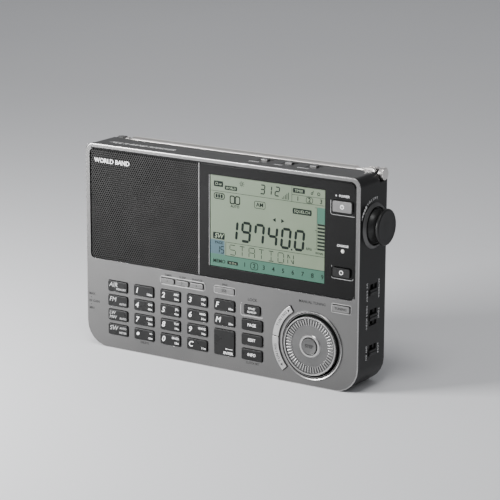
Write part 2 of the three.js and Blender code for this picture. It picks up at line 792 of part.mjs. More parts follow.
// The outer tube with its shank and the tongue that turns in the fork.
function buildAerial() {
  const tubeX0 = left + tubeLeftEnd;
  const tubeX1 = shankStart - shankLength;
  const inner = tubeRadius - tubeWall;
  const tube = turnedX([
    [inner, tubeX0], [tubeRadius, tubeX0], [tubeRadius, tubeX1 - 1.5], [shankRadius, tubeX1],
    [shankRadius, shankStart], [0, shankStart], [0, tubeX1 - 2], [inner, tubeX1 - 2], [inner, tubeX0],
  ], tubeSteps);
  const half = forkSlot / 2 - tonguePlay;
  const tongue = box(shankStart - 1, tiltX, -half, half, -shankRadius + 0.2, shankRadius - 0.2);
  const eye = new THREE.CylinderGeometry(eyeRadius, eyeRadius, 2 * half, 24);
  eye.translate(tiltX, 0, 0);
  const bore = new THREE.CylinderGeometry(tiltPinRadius + gap, tiltPinRadius + gap, 4 * half, 16);
  bore.translate(tiltX, 0, 0);
  const solid = cut(join(tube, tongue, toSolid(eye)), toSolid(bore));
  addPart('antenna_base', solid, 'chrome', 0, aerialY, aerialZ);
  for (let i = 1; i <= sectionCount; i += 1) {
    const outer = tubeRadius - i * (tubeWall + tubePlay);
    const x0 = tubeX0 - i * sectionStagger;
    const x1 = tubeX1 - (i + 1) * sectionRightInset;
    const last = i === sectionCount;
    const profile = last ? tipProfile(outer, x0, x1) : tubeProfile(outer, x0, x1);
    addPart(`antenna_section_${i}`, turnedX(profile, tubeSteps), 'chrome', 0, aerialY, aerialZ);
  }
}

function tipProfile(radius, x0, x1) {
  const tip = x0 - tipLength;
  return [
    [0, tip], [tipRadius - 0.6, tip], [tipRadius, tip + 0.6], [tipRadius, x0 - 0.8],
    [radius, x0 - 0.4], [radius, x1], [0, x1],
  ];
}

buildFrontPanel();
buildGrille();
buildWindow();
buildLcd();
buildRearCase();
buildInside();
buildSpeaker();
buildKeys();
buildArcKeys();
buildDial();
buildTopKeys();
buildSwitches();
buildKnob();
buildGainWheel();
buildDoor();
buildStand();
buildSwivel();
buildAerial();

export default receiver;
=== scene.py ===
import json
import math
import bpy
from mathutils import Matrix, Vector


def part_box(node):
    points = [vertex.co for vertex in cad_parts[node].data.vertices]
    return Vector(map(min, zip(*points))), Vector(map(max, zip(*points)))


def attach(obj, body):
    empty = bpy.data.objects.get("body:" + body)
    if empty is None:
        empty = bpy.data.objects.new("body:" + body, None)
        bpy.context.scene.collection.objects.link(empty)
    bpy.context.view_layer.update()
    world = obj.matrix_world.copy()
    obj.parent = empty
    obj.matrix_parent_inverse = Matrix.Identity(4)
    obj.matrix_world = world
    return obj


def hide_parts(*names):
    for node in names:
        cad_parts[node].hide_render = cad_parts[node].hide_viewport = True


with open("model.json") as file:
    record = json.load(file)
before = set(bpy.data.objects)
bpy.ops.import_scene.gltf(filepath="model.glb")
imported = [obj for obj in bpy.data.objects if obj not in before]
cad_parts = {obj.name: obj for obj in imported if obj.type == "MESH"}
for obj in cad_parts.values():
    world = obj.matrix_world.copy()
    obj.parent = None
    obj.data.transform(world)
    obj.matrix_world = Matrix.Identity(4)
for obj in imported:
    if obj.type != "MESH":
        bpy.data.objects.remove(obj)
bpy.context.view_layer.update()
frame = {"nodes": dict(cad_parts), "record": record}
mm = 0.001
ink = 0.04 * mm  # thickness of printed marks
nodes = frame["nodes"]
bodyOf = {node: body for body, names in frame["record"]["behaviour"]["bodies"].items() for node in names}

low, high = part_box("front_panel")
caseLow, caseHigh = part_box("rear_case")
panelLeft = low.x
panelRight = high.x
panelTop = high.z
panelFront = caseLow.y - 2.9 * mm
panelWidth = panelRight - panelLeft
backFace = caseHigh.y
sideFace = panelRight - 0.3 * mm
leftFace = panelLeft + 0.3 * mm
topFace = panelTop - 0.3 * mm


# selecting, copying and finishing

def clearSelection():
    bpy.ops.object.select_all(action="DESELECT")


def pick(obj):
    clearSelection()
    obj.select_set(True)
    bpy.context.view_layer.objects.active = obj


def settle(obj):
    pick(obj)
    bpy.ops.object.transform_apply(location=True, rotation=True, scale=True)
    return obj


def startEdit(obj, mode="FACE"):
    pick(obj)
    bpy.ops.object.mode_set(mode="EDIT")
    bpy.ops.mesh.select_mode(type=mode)
    bpy.ops.mesh.select_all(action="DESELECT")


def selectAll():
    bpy.ops.mesh.select_all(action="SELECT")


def stopEdit():
    bpy.ops.object.mode_set(mode="OBJECT")


def chooseFaces(obj, test):
    stopEdit()
    for face in obj.data.polygons:
        face.select = test(face)
    bpy.ops.object.mode_set(mode="EDIT")


def chooseEdges(obj, test):
    stopEdit()
    points = obj.data.vertices
    for edge in obj.data.edges:
        edge.select = test(points[edge.vertices[0]].co, points[edge.vertices[1]].co)
    bpy.ops.object.mode_set(mode="EDIT")


def joinAll(parts, name):
    clearSelection()
    for part in parts:
        part.select_set(True)
    bpy.context.view_layer.objects.active = parts[0]
    if len(parts) > 1:
        bpy.ops.object.join()
    joined = bpy.context.view_layer.objects.active
    joined.name = name
    return joined


def linkObject(name, data):
    obj = bpy.data.objects.new(name, data)
    bpy.context.scene.collection.objects.link(obj)
    return obj


def copyNode(node, name):
    obj = linkObject(name, nodes[node].data.copy())
    obj.data.materials.clear()
    startEdit(obj, "VERT")
    selectAll()
    bpy.ops.mesh.remove_doubles(threshold=0.002 * mm)
    bpy.ops.mesh.dissolve_limited(angle_limit=math.radians(0.6), use_dissolve_boundaries=False)
    stopEdit()
    return obj


def copyPiece(obj, move):
    piece = linkObject(obj.name, obj.data.copy())
    piece.data.transform(move)
    return piece


def applyModifier(obj, kind, **values):
    pick(obj)
    modifier = obj.modifiers.new(kind.lower(), kind)
    for key, value in values.items():
        setattr(modifier, key, value)
    bpy.ops.object.modifier_apply(modifier=modifier.name)


def softenEdges(obj, width, segments=2, angle=35):
    applyModifier(
        obj, "BEVEL", width=width, segments=segments, limit_method="ANGLE",
        angle_limit=math.radians(angle), use_clamp_overlap=True, harden_normals=False,
    )


def smooth(obj, angle=35):
    pick(obj)
    bpy.ops.object.shade_smooth_by_angle(angle=math.radians(angle))
    applyModifier(obj, "WEIGHTED_NORMAL", mode="FACE_AREA", weight=100, keep_sharp=True)


def finishPiece(obj, body, material, slot, *replaced):
    if not obj.data.materials:
        obj.data.materials.append(material)
    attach(obj, body)
    if replaced:
        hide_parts(*replaced)
    return obj


def finishNode(obj, node, body, material, slot, bevel, segments=2, bevelAngle=50, smoothAngle=40):
    # a copied node is softened, smoothed and takes the node's place; bevel in millimetres
    softenEdges(obj, bevel * mm, segments, bevelAngle)
    smooth(obj, smoothAngle)
    finishPiece(obj, body, material, slot, node)


def paintFaces(obj, materials, choose):
    for material in materials:
        obj.data.materials.append(material)
    for face in obj.data.polygons:
        face.material_index = int(choose(face))


def addBlock(name, lo, hi):
    lo, hi = Vector(lo), Vector(hi)
    clearSelection()
    bpy.ops.mesh.primitive_cube_add(size=1, location=(lo + hi) / 2)
    obj = bpy.context.object
    obj.name = name
    obj.scale = hi - lo
    return settle(obj)


def turnProfile(name, points, centre, axis, steps):
    # a vertex extruded along the profile, then spun; points are (radius, place along the axis) in millimetres
    axis = Vector(axis)
    outward = Vector((0, 0, 1)) if abs(axis.z) < 0.5 else Vector((1, 0, 0))
    spots = [Vector(centre) + (outward * radius + axis * along) * mm for radius, along in points]
    clearSelection()
    bpy.ops.mesh.primitive_plane_add(size=mm, location=spots[0])
    obj = settle(bpy.context.object)
    obj.name = name
    startEdit(obj, "VERT")
    selectAll()
    bpy.ops.mesh.merge(type="CENTER")
    for here, there in zip(spots, spots[1:]):
        bpy.ops.mesh.extrude_region_move(TRANSFORM_OT_translate={"value": there - here})
    selectAll()
    bpy.ops.mesh.spin(steps=steps, angle=2 * math.pi, center=centre, axis=axis)
    selectAll()
    bpy.ops.mesh.remove_doubles(threshold=0.004 * mm)
    bpy.ops.mesh.normals_make_consistent(inside=False)
    stopEdit()
    return obj


# marks laid on a face: made flat, then put in place

faceTurns = {
    "front": Matrix.Rotation(math.pi / 2, 4, "X"),
    "back": Matrix.Rotation(math.pi, 4, "Z") @ Matrix.Rotation(math.pi / 2, 4, "X"),
    "right": Matrix.Rotation(math.pi / 2, 4, "Z") @ Matrix.Rotation(math.pi / 2, 4, "X"),
    "left": Matrix.Rotation(-math.pi / 2, 4, "Z") @ Matrix.Rotation(math.pi / 2, 4, "X"),
    "top": Matrix.Identity(4),
}


def layOn(obj, face, across, up, plane, turn=0.0):
    spots = {
        "front": (across, plane, up), "back": (across, plane, up),
        "right": (plane, across, up), "left": (plane, across, up), "top": (across, up, plane),
    }
    place = Matrix.Translation(spots[face]) @ faceTurns[face]
    obj.matrix_world = place @ Matrix.Rotation(math.radians(turn), 4, "Z")
    return settle(obj)


def flatText(words, size, slant=0.0, weight=0.0, align="CENTER", spacing=1.0, deep=ink):
    clearSelection()
    bpy.ops.object.text_add()
    obj = bpy.context.object
    obj.data.body = words
    obj.data.size = size
    obj.data.shear = slant
    obj.data.offset = weight * size
    obj.data.align_x = align
    obj.data.align_y = "CENTER"
    obj.data.space_character = spacing
    obj.data.extrude = deep / 2
    obj.data.resolution_u = 3
    bpy.ops.object.convert(target="MESH")
    return bpy.context.object


def faceText(face, words, size, across, up, plane, turn=0.0, **style):
    # size in millimetres
    return layOn(flatText(words, size * mm, **style), face, across, up, plane, turn)


def arcWord(face, word, size, centre, radius, start, step, plane):
    # letters along an arc, clockwise from the start angle
    marks = []
    for index, letter in enumerate(word):
        angle = start - step * index
        spot = math.radians(angle)
        across, up = centre[0] + radius * math.cos(spot), centre[1] + radius * math.sin(spot)
        marks.append(faceText(face, letter, size, across, up, plane, angle - 90, weight=0.01))
    return marks


def flatBar(length, width, point=0.0, thick=ink):
    # a bar along X; point is how far its two ends taper
    clearSelection()
    bpy.ops.mesh.primitive_cylinder_add(vertices=6, radius=1, depth=thick)
    obj = bpy.context.object
    for vertex in obj.data.vertices:
        x, y = vertex.co.y, vertex.co.x
        side = math.copysign(1, x)
        if abs(x) > 0.9:
            vertex.co.x, vertex.co.y = side * length / 2, 0
        else:
            vertex.co.x = side * (length / 2 - max(point, 0.001 * mm))
            vertex.co.y = math.copysign(width / 2, y)
    return obj


def flatArrow(radius):
    clearSelection()
    bpy.ops.mesh.primitive_cylinder_add(vertices=3, radius=radius * mm, depth=ink)
    return bpy.context.object


def flatRing(outer, inner, thick=ink, steps=32):
    clearSelection()
    bpy.ops.mesh.primitive_circle_add(vertices=steps, radius=outer, fill_type="NGON")
    obj = bpy.context.object
    startEdit(obj)
    selectAll()
    bpy.ops.mesh.inset(thickness=outer - inner)
    bpy.ops.mesh.delete(type="FACE")
    selectAll()
    bpy.ops.mesh.extrude_region_move(TRANSFORM_OT_translate={"value": (0, 0, thick)})
    selectAll()
    bpy.ops.mesh.normals_make_consistent(inside=False)
    stopEdit()
    return obj


def barBetween(face, start, end, width, plane, thick=ink):
    dx, dz = end[0] - start[0], end[1] - start[1]
    obj = flatBar(math.hypot(dx, dz) + width, width, width * 0.3, thick)
    turn = math.degrees(math.atan2(dz, dx))
    if face in ("back", "left"):
        turn = 180 - turn
    return layOn(obj, face, (start[0] + end[0]) / 2, (start[1] + end[1]) / 2, plane, turn)


def outlineBars(face, spots, width, plane, thick=ink):
    return [barBetween(face, a, b, width, plane, thick) for a, b in zip(spots, spots[1:])]


def roundSpots(left, bottom, right, top, radius, steps=4, start=0, stop=None):
    # corner points of a rounded box, anticlockwise from the top right corner
    spots = []
    corners = [(right, top, 0), (left, top, 90), (left, bottom, 180), (right, bottom, 270)]
    for x, z, begin in corners:
        cx = x - math.copysign(radius, x - (left + right) / 2)
        cz = z - math.copysign(radius, z - (bottom + top) / 2)
        for i in range(steps + 1):
            angle = math.radians(begin + 90 * i / steps)
            spots.append((cx + radius * math.cos(angle), cz + radius * math.sin(angle)))
    return spots[start:stop] if stop else spots[start:] + spots[:1]


# shader groups

def addNode(tree, kind, inputs=None, **settings):
    # each input takes a value or the output that feeds it
    node = tree.nodes.new("ShaderNode" + kind)
    for key, value in settings.items():
        setattr(node, key, value)
    for socket, value in (inputs or {}).items():
        if isinstance(value, bpy.types.NodeSocket):
            tree.links.new(value, node.inputs[socket])
        else:
            node.inputs[socket].default_value = value
    return node


def objectNoise(tree, scale, detail=2):
    where = addNode(tree, "TexCoord").outputs["Object"]
    return addNode(tree, "TexNoise", {"Vector": where, "Scale": scale, "Detail": detail}).outputs["Fac"]


def mixTones(tree, factor, *tones):
    first, second = [(*tone, 1) if isinstance(tone, tuple) else tone for tone in tones]
    return addNode(tree, "Mix", {"Factor": factor, "A": first, "B": second}, data_type="RGBA").outputs["Result"]


def scaleAndAdd(tree, value, factor, start):
    return addNode(tree, "Math", {0: value, 1: factor, 2: start}, operation="MULTIPLY_ADD").outputs[0]


def newGroup(name, inputs, outputs):
    group = bpy.data.node_groups.new(name, "ShaderNodeTree")
    for label, value in inputs.items():
        kind = "Float" if isinstance(value, float) else "Vector" if len(value) == 3 else "Color"
        socket = group.interface.new_socket(name=label, in_out="INPUT", socket_type="NodeSocket" + kind)
        socket.default_value = value
    for label in outputs:
        kind = "Color" if label == "Color" else "Float"
        group.interface.new_socket(name=label, in_out="OUTPUT", socket_type="NodeSocket" + kind)
    return group, group.nodes.new("NodeGroupInput").outputs, group.nodes.new("NodeGroupOutput").inputs


def makeMouldedGroup():
    # moulded or sprayed skin: cloudy tone, fine grain and faint handling marks
    group, entry, leave = newGroup(
        "mouldedSkin",
        {"Tone": (0.1, 0.1, 0.1, 1), "Other Tone": (0.2, 0.2, 0.2, 1), "Rough": 0.5, "Rough Spread": 0.1,
         "Cloud Scale": 60.0, "Grain Scale": 3000.0, "Speckle": 0.2},
        ("Color", "Roughness", "Height"),
    )
    cloud = objectNoise(group, entry["Cloud Scale"], 4)
    grain = objectNoise(group, entry["Grain Scale"])
    blend = scaleAndAdd(group, grain, entry["Speckle"], cloud)
    spread = addNode(group, "MapRange", {"Value": blend, "From Min": 0.35, "From Max": 0.9}).outputs["Result"]
    tone = mixTones(group, spread, entry["Tone"], entry["Other Tone"])
    rough = scaleAndAdd(group, cloud, entry["Rough Spread"], entry["Rough"])
    for label, source in (("Color", tone), ("Roughness", rough), ("Height", grain)):
        group.links.new(source, leave[label])
    return group


def makeBrushGroup():
    # fine lines drawn out along one axis, as on drawn or turned metal
    group, entry, leave = newGroup(
        "drawnLines", {"Stretch": (40.0, 2500.0, 2500.0), "Rough": 0.15, "Rough Spread": 0.15},
        ("Roughness", "Height", "Mask"),
    )
    where = addNode(group, "TexCoord").outputs["Object"]
    drawn = addNode(group, "VectorMath", {0: where, 1: entry["Stretch"]}, operation="MULTIPLY").outputs[0]
    lines = addNode(group, "TexNoise", {"Vector": drawn, "Scale": 1, "Detail": 3}).outputs["Fac"]
    rough = scaleAndAdd(group, lines, entry["Rough Spread"], entry["Rough"])
    for label, source in (("Roughness", rough), ("Height", lines), ("Mask", lines)):
        group.links.new(source, leave[label])
    return group


mouldedGroup = makeMouldedGroup()
brushGroup = makeBrushGroup()


def newMaterial(name, metallic=0.0, coat=0.0, coatRough=0.05, specular=0.5):
    material = bpy.data.materials.new(name)
    material.use_nodes = True
    shader = material.node_tree.nodes["Principled BSDF"]
    for label, value in (("Metallic", metallic), ("Coat Weight", coat), ("Coat Roughness", coatRough),
                         ("Specular IOR Level", specular)):
        shader.inputs[label].default_value = value
    return material, shader


def feedShader(material, shader, colour, rough, height, strength, distance):
    tree = material.node_tree
    bump = addNode(tree, "Bump", {"Strength": strength, "Distance": distance, "Height": height})
    tree.links.new(colour, shader.inputs["Base Color"])
    tree.links.new(bump.outputs["Normal"], shader.inputs["Normal"])
    if isinstance(rough, float):
        shader.inputs["Roughness"].default_value = rough
    else:
        tree.links.new(rough, shader.inputs["Roughness"])


def mouldedMaterial(name, tone, otherTone, rough, spread=0.12, cloud=60, grain=3000, speckle=0.3,
                    bump=0.25, depth=0.02 * mm, **shading):
    material, shader = newMaterial(name, **shading)
    skin = addNode(material.node_tree, "Group", {
        "Tone": (*tone, 1), "Other Tone": (*otherTone, 1), "Rough": rough - spread / 2, "Rough Spread": spread,
        "Cloud Scale": cloud, "Grain Scale": grain, "Speckle": speckle,
    }, node_tree=mouldedGroup).outputs
    feedShader(material, shader, skin["Color"], skin["Roughness"], skin["Height"], bump, depth)
    return material


def drawnMaterial(name, tone, otherTone, stretch, rough, spread=0.15, bump=0.1, **shading):
    material, shader = newMaterial(name, **shading)
    tree = material.node_tree
    lines = addNode(
        tree, "Group", {"Stretch": stretch, "Rough": rough - spread / 2, "Rough Spread": spread}, node_tree=brushGroup,
    ).outputs
    colour = mixTones(tree, lines["Mask"], tone, otherTone)
    feedShader(material, shader, colour, lines["Roughness"], lines["Height"], bump, 0.01 * mm)
    return material


def cloudyMaterial(name, tone, otherTone, scale, rough, **shading):
    material, shader = newMaterial(name, **shading)
    tree = material.node_tree
    tree.links.new(mixTones(tree, objectNoise(tree, scale), tone, otherTone), shader.inputs["Base Color"])
    shader.inputs["Roughness"].default_value = rough
    return material


def grey(value, warm=0.0):
    return (value * (1 + warm), value, value * (1 - warm))


silverPaint = mouldedMaterial(
    "silverPaint", grey(0.088, 0.005), grey(0.112, 0.01), 0.36, cloud=25, grain=5200, speckle=0.55,
    bump=0.25, depth=0.012 * mm, metallic=0.72, coat=0.1, coatRough=0.35,
)
# a light metal for the arc keys, the grille trim and the outline bars; laid on edges, lips and ridges it is a painted
# highlight
brightMetalAndHighlight = mouldedMaterial(
    "brightMetalAndHighlight", grey(0.35, 0.01), grey(0.43, 0.01), 0.28, cloud=40, grain=4000, metallic=0.9, bump=0.08, coat=0.2,
)
keySilver = mouldedMaterial(
    "keySilver", grey(0.112, 0.01), grey(0.142, 0.01), 0.34, cloud=90, grain=5200, metallic=0.7, coat=0.2,
)
dialSilver = mouldedMaterial(
    "dialSilver", grey(0.098, 0.005), grey(0.125, 0.005), 0.34, cloud=80, grain=5200, metallic=0.8, coat=0.15,
)
caseBlack = mouldedMaterial(
    "caseBlack", grey(0.007), grey(0.012), 0.36, cloud=35, grain=2600, speckle=0.25, bump=0.35, depth=0.03 * mm,
    specular=0.28,
)
keyBlack = mouldedMaterial(
    "keyBlack", grey(0.008), grey(0.014), 0.28, cloud=120, grain=3200, bump=0.2, depth=0.02 * mm, specular=0.2,
)
knobBlack = mouldedMaterial(
    "knobBlack", grey(0.009), grey(0.016), 0.38, cloud=90, grain=3000, bump=0.2, depth=0.02 * mm, specular=0.35,
)
windowBlack = mouldedMaterial(
    "windowBlack", grey(0.004), grey(0.006), 0.24, spread=0.05, cloud=30, grain=900, bump=0.02,
    depth=0.01 * mm, coat=0.04, coatRough=0.15, specular=0.1,
)
grilleMetal = mouldedMaterial(
    "grilleMetal", grey(0.013, 0.02), grey(0.022, 0.02), 0.48, cloud=80, grain=2500, metallic=0.3, bump=0.2,
    specular=0.18,
)
# a darker, duller finish painted into the grille's holes as shade
grilleHoleShade = mouldedMaterial("grilleHoleShade", grey(0.004), grey(0.007), 0.8, cloud=80, specular=0.1)
chrome = drawnMaterial(
    "drawnChrome", grey(0.78, 0.03), grey(0.90, 0.04), (30, 2600, 2600), 0.30, metallic=1.0,
)
lcdInk = mouldedMaterial("lcdInk", (0.003, 0.006, 0.005), (0.006, 0.010, 0.008), 0.6, cloud=200, specular=0.1)
lcdPale = mouldedMaterial("lcdPale", (0.20, 0.26, 0.18), (0.24, 0.29, 0.21), 0.6, cloud=200, specular=0.2)
whiteInk = mouldedMaterial("whiteInk", grey(0.82), grey(0.92), 0.5, cloud=300, grain=2500)
greyInk = mouldedMaterial("greyInk", grey(0.36), grey(0.46), 0.5, cloud=300, grain=2500)
darkInk = mouldedMaterial("darkInk", grey(0.012), grey(0.020), 0.6, cloud=300, grain=2500, specular=0.1)
print("materials made")


# display: figures, icons and tinted zones

display = {  # all in millimetres, u and v from the display's top left corner
    "lip": 3.0, "slant": 0.09, "stripHeight": 8.0, "meterWidth": 5.3, "meterTop": 11.25, "meterBottom": 21.25,
    "pageTop": 41.0, "pageRight": 10.55,
    "digits": ("197400", 16.8, 9.65, 33.5), "digitSize": (13.4, 7.4, 1.7),
    "rules": [(41.5, 9.8, 82, 0.24), (71.2, 5.3, 23.4, 0.24), (59.4, 5.0, 9.6, 0.24, 90), (47.2, 41.6, 71.6, 0.24),
              (47.2, 50.3, 71.6, 0.24), (11.5, 45.95, 8.7, 0.24, 90)],
    "boxes": [(6.0, 5.2, 7.0, 3.5), (15.2, 7.0, 9.2, 2.6), (64.4, 2.6, 8.6, 2.9), (66.8, 15.4, 13.6, 3.5),
              (6.3, 38.3, 8.8, 4.2), (16.6, 54.5, 8.0, 2.2)],
    "frames": [(36.4, 15.0, 7.8, 4.4, 1.0, 0.32), (6.6, 12.9, 7.6, 3.6, 1.3, 0.5), (16.3, 14.2, 3.2, 4.8, 0.9, 0.7),
               (20.1, 14.2, 3.2, 4.8, 0.9, 0.7), (71.9, 7.6, 4.6, 3.6, 1.4, 0.32), (32.5, 54.3, 5.4, 4.4, 1.6, 0.36)],
    "rings": [(23.2, 3.4, 0.95, 0.6), (78.4, 3.0, 1.05, 0.65)],
    "words": [("AM", 36.4, 15.0, 2.5), ("AUTO", 18.2, 18.3, 1.6), ("kHz", 71.9, 37.8, 1.7), ("SIGNAL", 79.4, 39.7, 1.2),
              ("MEMO", 6.6, 54.6, 2.2)],
    "paleWords": [("O-w", 6.0, 5.3, 1.8), ("WORLD", 15.2, 7.1, 1.4), ("TIMER", 64.4, 2.7, 1.5),
                  ("SQUELCH", 66.8, 15.5, 1.8), ("W O-w", 16.6, 54.6, 1.2)],
}
lcdLow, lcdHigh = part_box("lcd_panel")
lcdLeft = lcdLow.x + display["lip"] * mm
lcdRight = lcdHigh.x - display["lip"] * mm
lcdTop = lcdHigh.z - display["lip"] * mm
lcdBottom = lcdLow.z + display["lip"] * mm
lcdPlane = lcdLow.y - ink


def lcdMaterial():
    material, shader = newMaterial("lcdGlass", coat=0.12, coatRough=0.12, specular=0.25)
    tree = material.node_tree
    where = addNode(tree, "TexCoord").outputs["Object"]
    split = addNode(tree, "SeparateXYZ", {0: where}).outputs

    def ramp(axis, start, end):
        spans = {"Value": split[axis], "From Min": start, "From Max": end}
        return addNode(tree, "MapRange", spans).outputs["Result"]

    soft = 0.05 * mm
    stripTop = lcdBottom + display["stripHeight"] * mm
    pageRight, pageTop = lcdLeft + display["pageRight"] * mm, lcdTop - display["pageTop"] * mm
    meterLeft = lcdRight - display["meterWidth"] * mm
    meterLow, meterHigh = lcdTop - display["meterBottom"] * mm, lcdTop - display["meterTop"] * mm
    zones = [
        ([("Z", stripTop + soft, stripTop - soft)], (0.028, 0.096, 0.065)),
        ([("X", pageRight + soft, pageRight - soft), ("Z", pageTop + soft, pageTop),
          ("Z", stripTop - soft, stripTop + soft)], (0.036, 0.078, 0.098)),
        ([("X", meterLeft - soft, meterLeft), ("Z", meterLow - soft, meterLow + soft),
          ("Z", meterHigh + soft, meterHigh - soft)], (0.028, 0.104, 0.070)),
    ]
    cells = objectNoise(tree, 45)
    mottled = mixTones(tree, cells, (0.100, 0.136, 0.087), (0.143, 0.180, 0.120))
    colour = mixTones(tree, ramp("X", lcdLeft, lcdRight), (0.116, 0.150, 0.103), mottled)
    for spans, tint in zones:
        mask = ramp(*spans[0])
        for span in spans[1:]:
            mask = addNode(tree, "Math", {0: mask, 1: ramp(*span)}, operation="MULTIPLY").outputs[0]
        colour = mixTones(tree, mask, colour, tint)
    # painted glow: the unlit display is given a faint emission that brightens its face
    paintedGlow = mixTones(tree, cells, (0.020, 0.026, 0.020), (0.028, 0.034, 0.026))
    tree.links.new(paintedGlow, shader.inputs["Emission Color"])
    shader.inputs["Emission Strength"].default_value = 0.3
    feedShader(material, shader, colour, 0.35, cells, 0.02, 0.01 * mm)
    return material


def lcdSpot(u, v):
    return lcdLeft + u * mm, lcdTop - v * mm


def lcdBar(u, v, length, width, turn=0.0, point=0.0):
    return layOn(flatBar(length * mm, width * mm, point * mm), "front", *lcdSpot(u, v), lcdPlane, turn)


def lcdText(words, u, v, height, **style):
    return faceText("front", words, height / 0.69, *lcdSpot(u, v), lcdPlane, **style)


def lcdFrame(u, v, width, height, radius, stroke):
    left, top = lcdSpot(u - width / 2, v - height / 2)
    right, bottom = lcdSpot(u + width / 2, v + height / 2)
    return outlineBars("front", roundSpots(left, bottom, right, top, radius * mm, 3), stroke * mm, lcdPlane)


segmentPlaces = {  # column, row, turn: halves of the digit cell
    "a": (0, 1, 0), "b": (0.5, 0.5, 90), "c": (0.5, -0.5, 90), "d": (0, -1, 0),
    "e": (-0.5, -0.5, 90), "f": (-0.5, 0.5, 90), "g": (0, 0, 0),
}
digitSegments = {
    "0": "abcdef", "1": "bc", "2": "abged", "3": "abgcd", "4": "fgbc", "5": "afgcd", "7": "fabc", "9": "abcdfg",
}
letterSegments = {"S": "afgcd", "T": "ail", "A": "abcefg", "I": "adil", "O": "abcdef", "N": "bcefhm"}


def sevenSegment(figure, u, v, height, width, stroke, slant):
    bars = []
    half = height / 2 - stroke / 2
    for letter in digitSegments[figure]:
        column, row, turn = segmentPlaces[letter]
        length = (half if turn else width - stroke) - stroke * 0.18
        rise = row * half
        across = column * (width - stroke) + rise * slant
        lean = -math.degrees(math.atan(slant)) if turn else 0
        bars.append(lcdBar(u + across, v - rise, length, stroke, turn + lean, stroke * 0.45))
    return bars


def nameLetter(letter, u, v, height, width, stroke):
    # letters of thin strokes, with a middle upright and two slopes beside the seven bars
    bars = []
    half = height / 2
    for key in letterSegments[letter]:
        if key in segmentPlaces:
            column, row, turn = segmentPlaces[key]
            length = (half if turn else width) - stroke * 1.3
            spot = (u + column * width, v - row * half)
        elif key in "il":
            turn, length = 90, half - stroke * 1.3
            spot = (u, v - (half / 2 if key == "i" else -half / 2))
        else:
            turn = -math.degrees(math.atan2(half, width / 2))
            length = math.hypot(half, width / 2) - stroke * 2.4
            side = -1 if key == "h" else 1
            spot = (u + side * width / 4, v + side * half / 2)
        bars.append(lcdBar(*spot, length, stroke, turn, stroke * 0.4))
    return bars


def displayFigures():
    marks = []
    figures, first, pitch, middle = display["digits"]
    for index, figure in enumerate(figures):
        marks += sevenSegment(figure, first + pitch * index, middle, *display["digitSize"], display["slant"])
    marks.append(lcdBar(59.6, 39.9, 1.2, 1.1, point=0.2))
    for figure, u in (("3", 38.4), ("1", 43.3), ("2", 49.0)):  # clock
        marks += sevenSegment(figure, u, 4.9, 6.2, 3.6, 0.74, display["slant"])
    meterMiddle = (lcdRight - lcdLeft) / mm - display["meterWidth"] / 2 + 0.1
    marks += [lcdBar(meterMiddle, 21.9 + 2.17 * index, 5.0, 1.15) for index in range(8)]
    marks += [lcdBar(76.6, v, 1.3, 0.25) for v in (11.6, 25.6, 37.2)]
    marks.append(lcdBar(77.4, 24.4, 25.8, 0.14, 90))
    return marks


def displayIcons():
    marks = [lcdBar(*box, point=0.25) for box in display["boxes"]]
    for u, turn in ((47.2, 90), (52.7, -90)):  # two tuning arrows
        marks.append(layOn(flatArrow(1.5), "front", *lcdSpot(u, 22.9), lcdPlane, turn))
    for frameSize in display["frames"]:
        marks += lcdFrame(*frameSize)
    for u, v, outer, inner in display["rings"]:
        marks.append(layOn(flatRing(outer * mm, inner * mm), "front", *lcdSpot(u, v), lcdPlane))
    marks += [lcdBar(4.6 + 1.9 * index, 12.9, 1.5, 2.3, point=0.2) for index in range(3)]
    for index in range(8):  # sun rays
        angle = math.radians(45 * index)
        u, v = 23.2 + 1.55 * math.cos(angle), 3.4 - 1.55 * math.sin(angle)
        marks.append(lcdBar(u, v, 0.6, 0.32, math.degrees(angle)))
    marks += [lcdBar(52.6 + 1.1 * step, 8.6 - 0.45 * step, 0.9 + 0.9 * step, 0.42, 90) for step in range(5)]
    return marks


def displayWords():
    marks = [lcdText(*word, weight=0.014) for word in display["words"]]
    marks += [lcdText(str(n), 63.7 + 8.2 * (n - 1), 7.6, 2.7, weight=0.014) for n in range(1, 4)]
    marks += [lcdText(str(n), 25.5 + 7.0 * (n - 1), 54.3, 2.7, weight=0.014) for n in range(1, 10)]
    marks += [lcdText("PAGE", 6.4, 42.7, 1.7, weight=0.01), lcdText("d", 73.4, 2.8, 2.4, slant=0.3, weight=0.014)]
    return marks


def makeDisplay():
    glass = copyNode("lcd_panel", "lcdGlass")
    finishNode(glass, "lcd_panel", "case", lcdMaterial(), "lcd_glass", 0.1, 2, 35, 35)
    strong = displayFigures() + displayIcons() + displayWords()
    finishPiece(joinAll(strong, "lcdFigures"), "case", lcdInk, "lcd_glass")
    faint = [lcdBar(*rule) for rule in display["rules"]]
    for index, letter in enumerate("STATION"):
        faint += nameLetter(letter, 16.6 + 7.05 * index, 46.1, 6.2, 4.1, 0.42)
    for index, figure in enumerate("15"):
        faint += sevenSegment(figure, 5.6 + 3.3 * index, 47.0, 4.8, 2.7, 0.5, 0.06)
    finishPiece(joinAll(faint, "lcdFineLines"), "case", lcdInk, "lcd_glass")
    pale = [lcdText(*word) for word in display["paleWords"]] + [lcdText("SW", 6.3, 38.4, 2.9, slant=0.2, weight=0.01)]
    for piece in pale:
        piece.data.transform(Matrix.Translation((0, -ink, 0)))
    finishPiece(joinAll(pale, "lcdPaleWords"), "case", lcdPale, "lcd_glass")
    print("display made")


# front panel, grille and window

panel = {"rimBevel": 0.9 * mm, "silverEdge": 0.7 * mm, "holeBevel": 0.34 * mm, "rimWidth": 1.25 * mm,
         "topRadius": 6 * mm, "bottomRadius": 16 * mm}


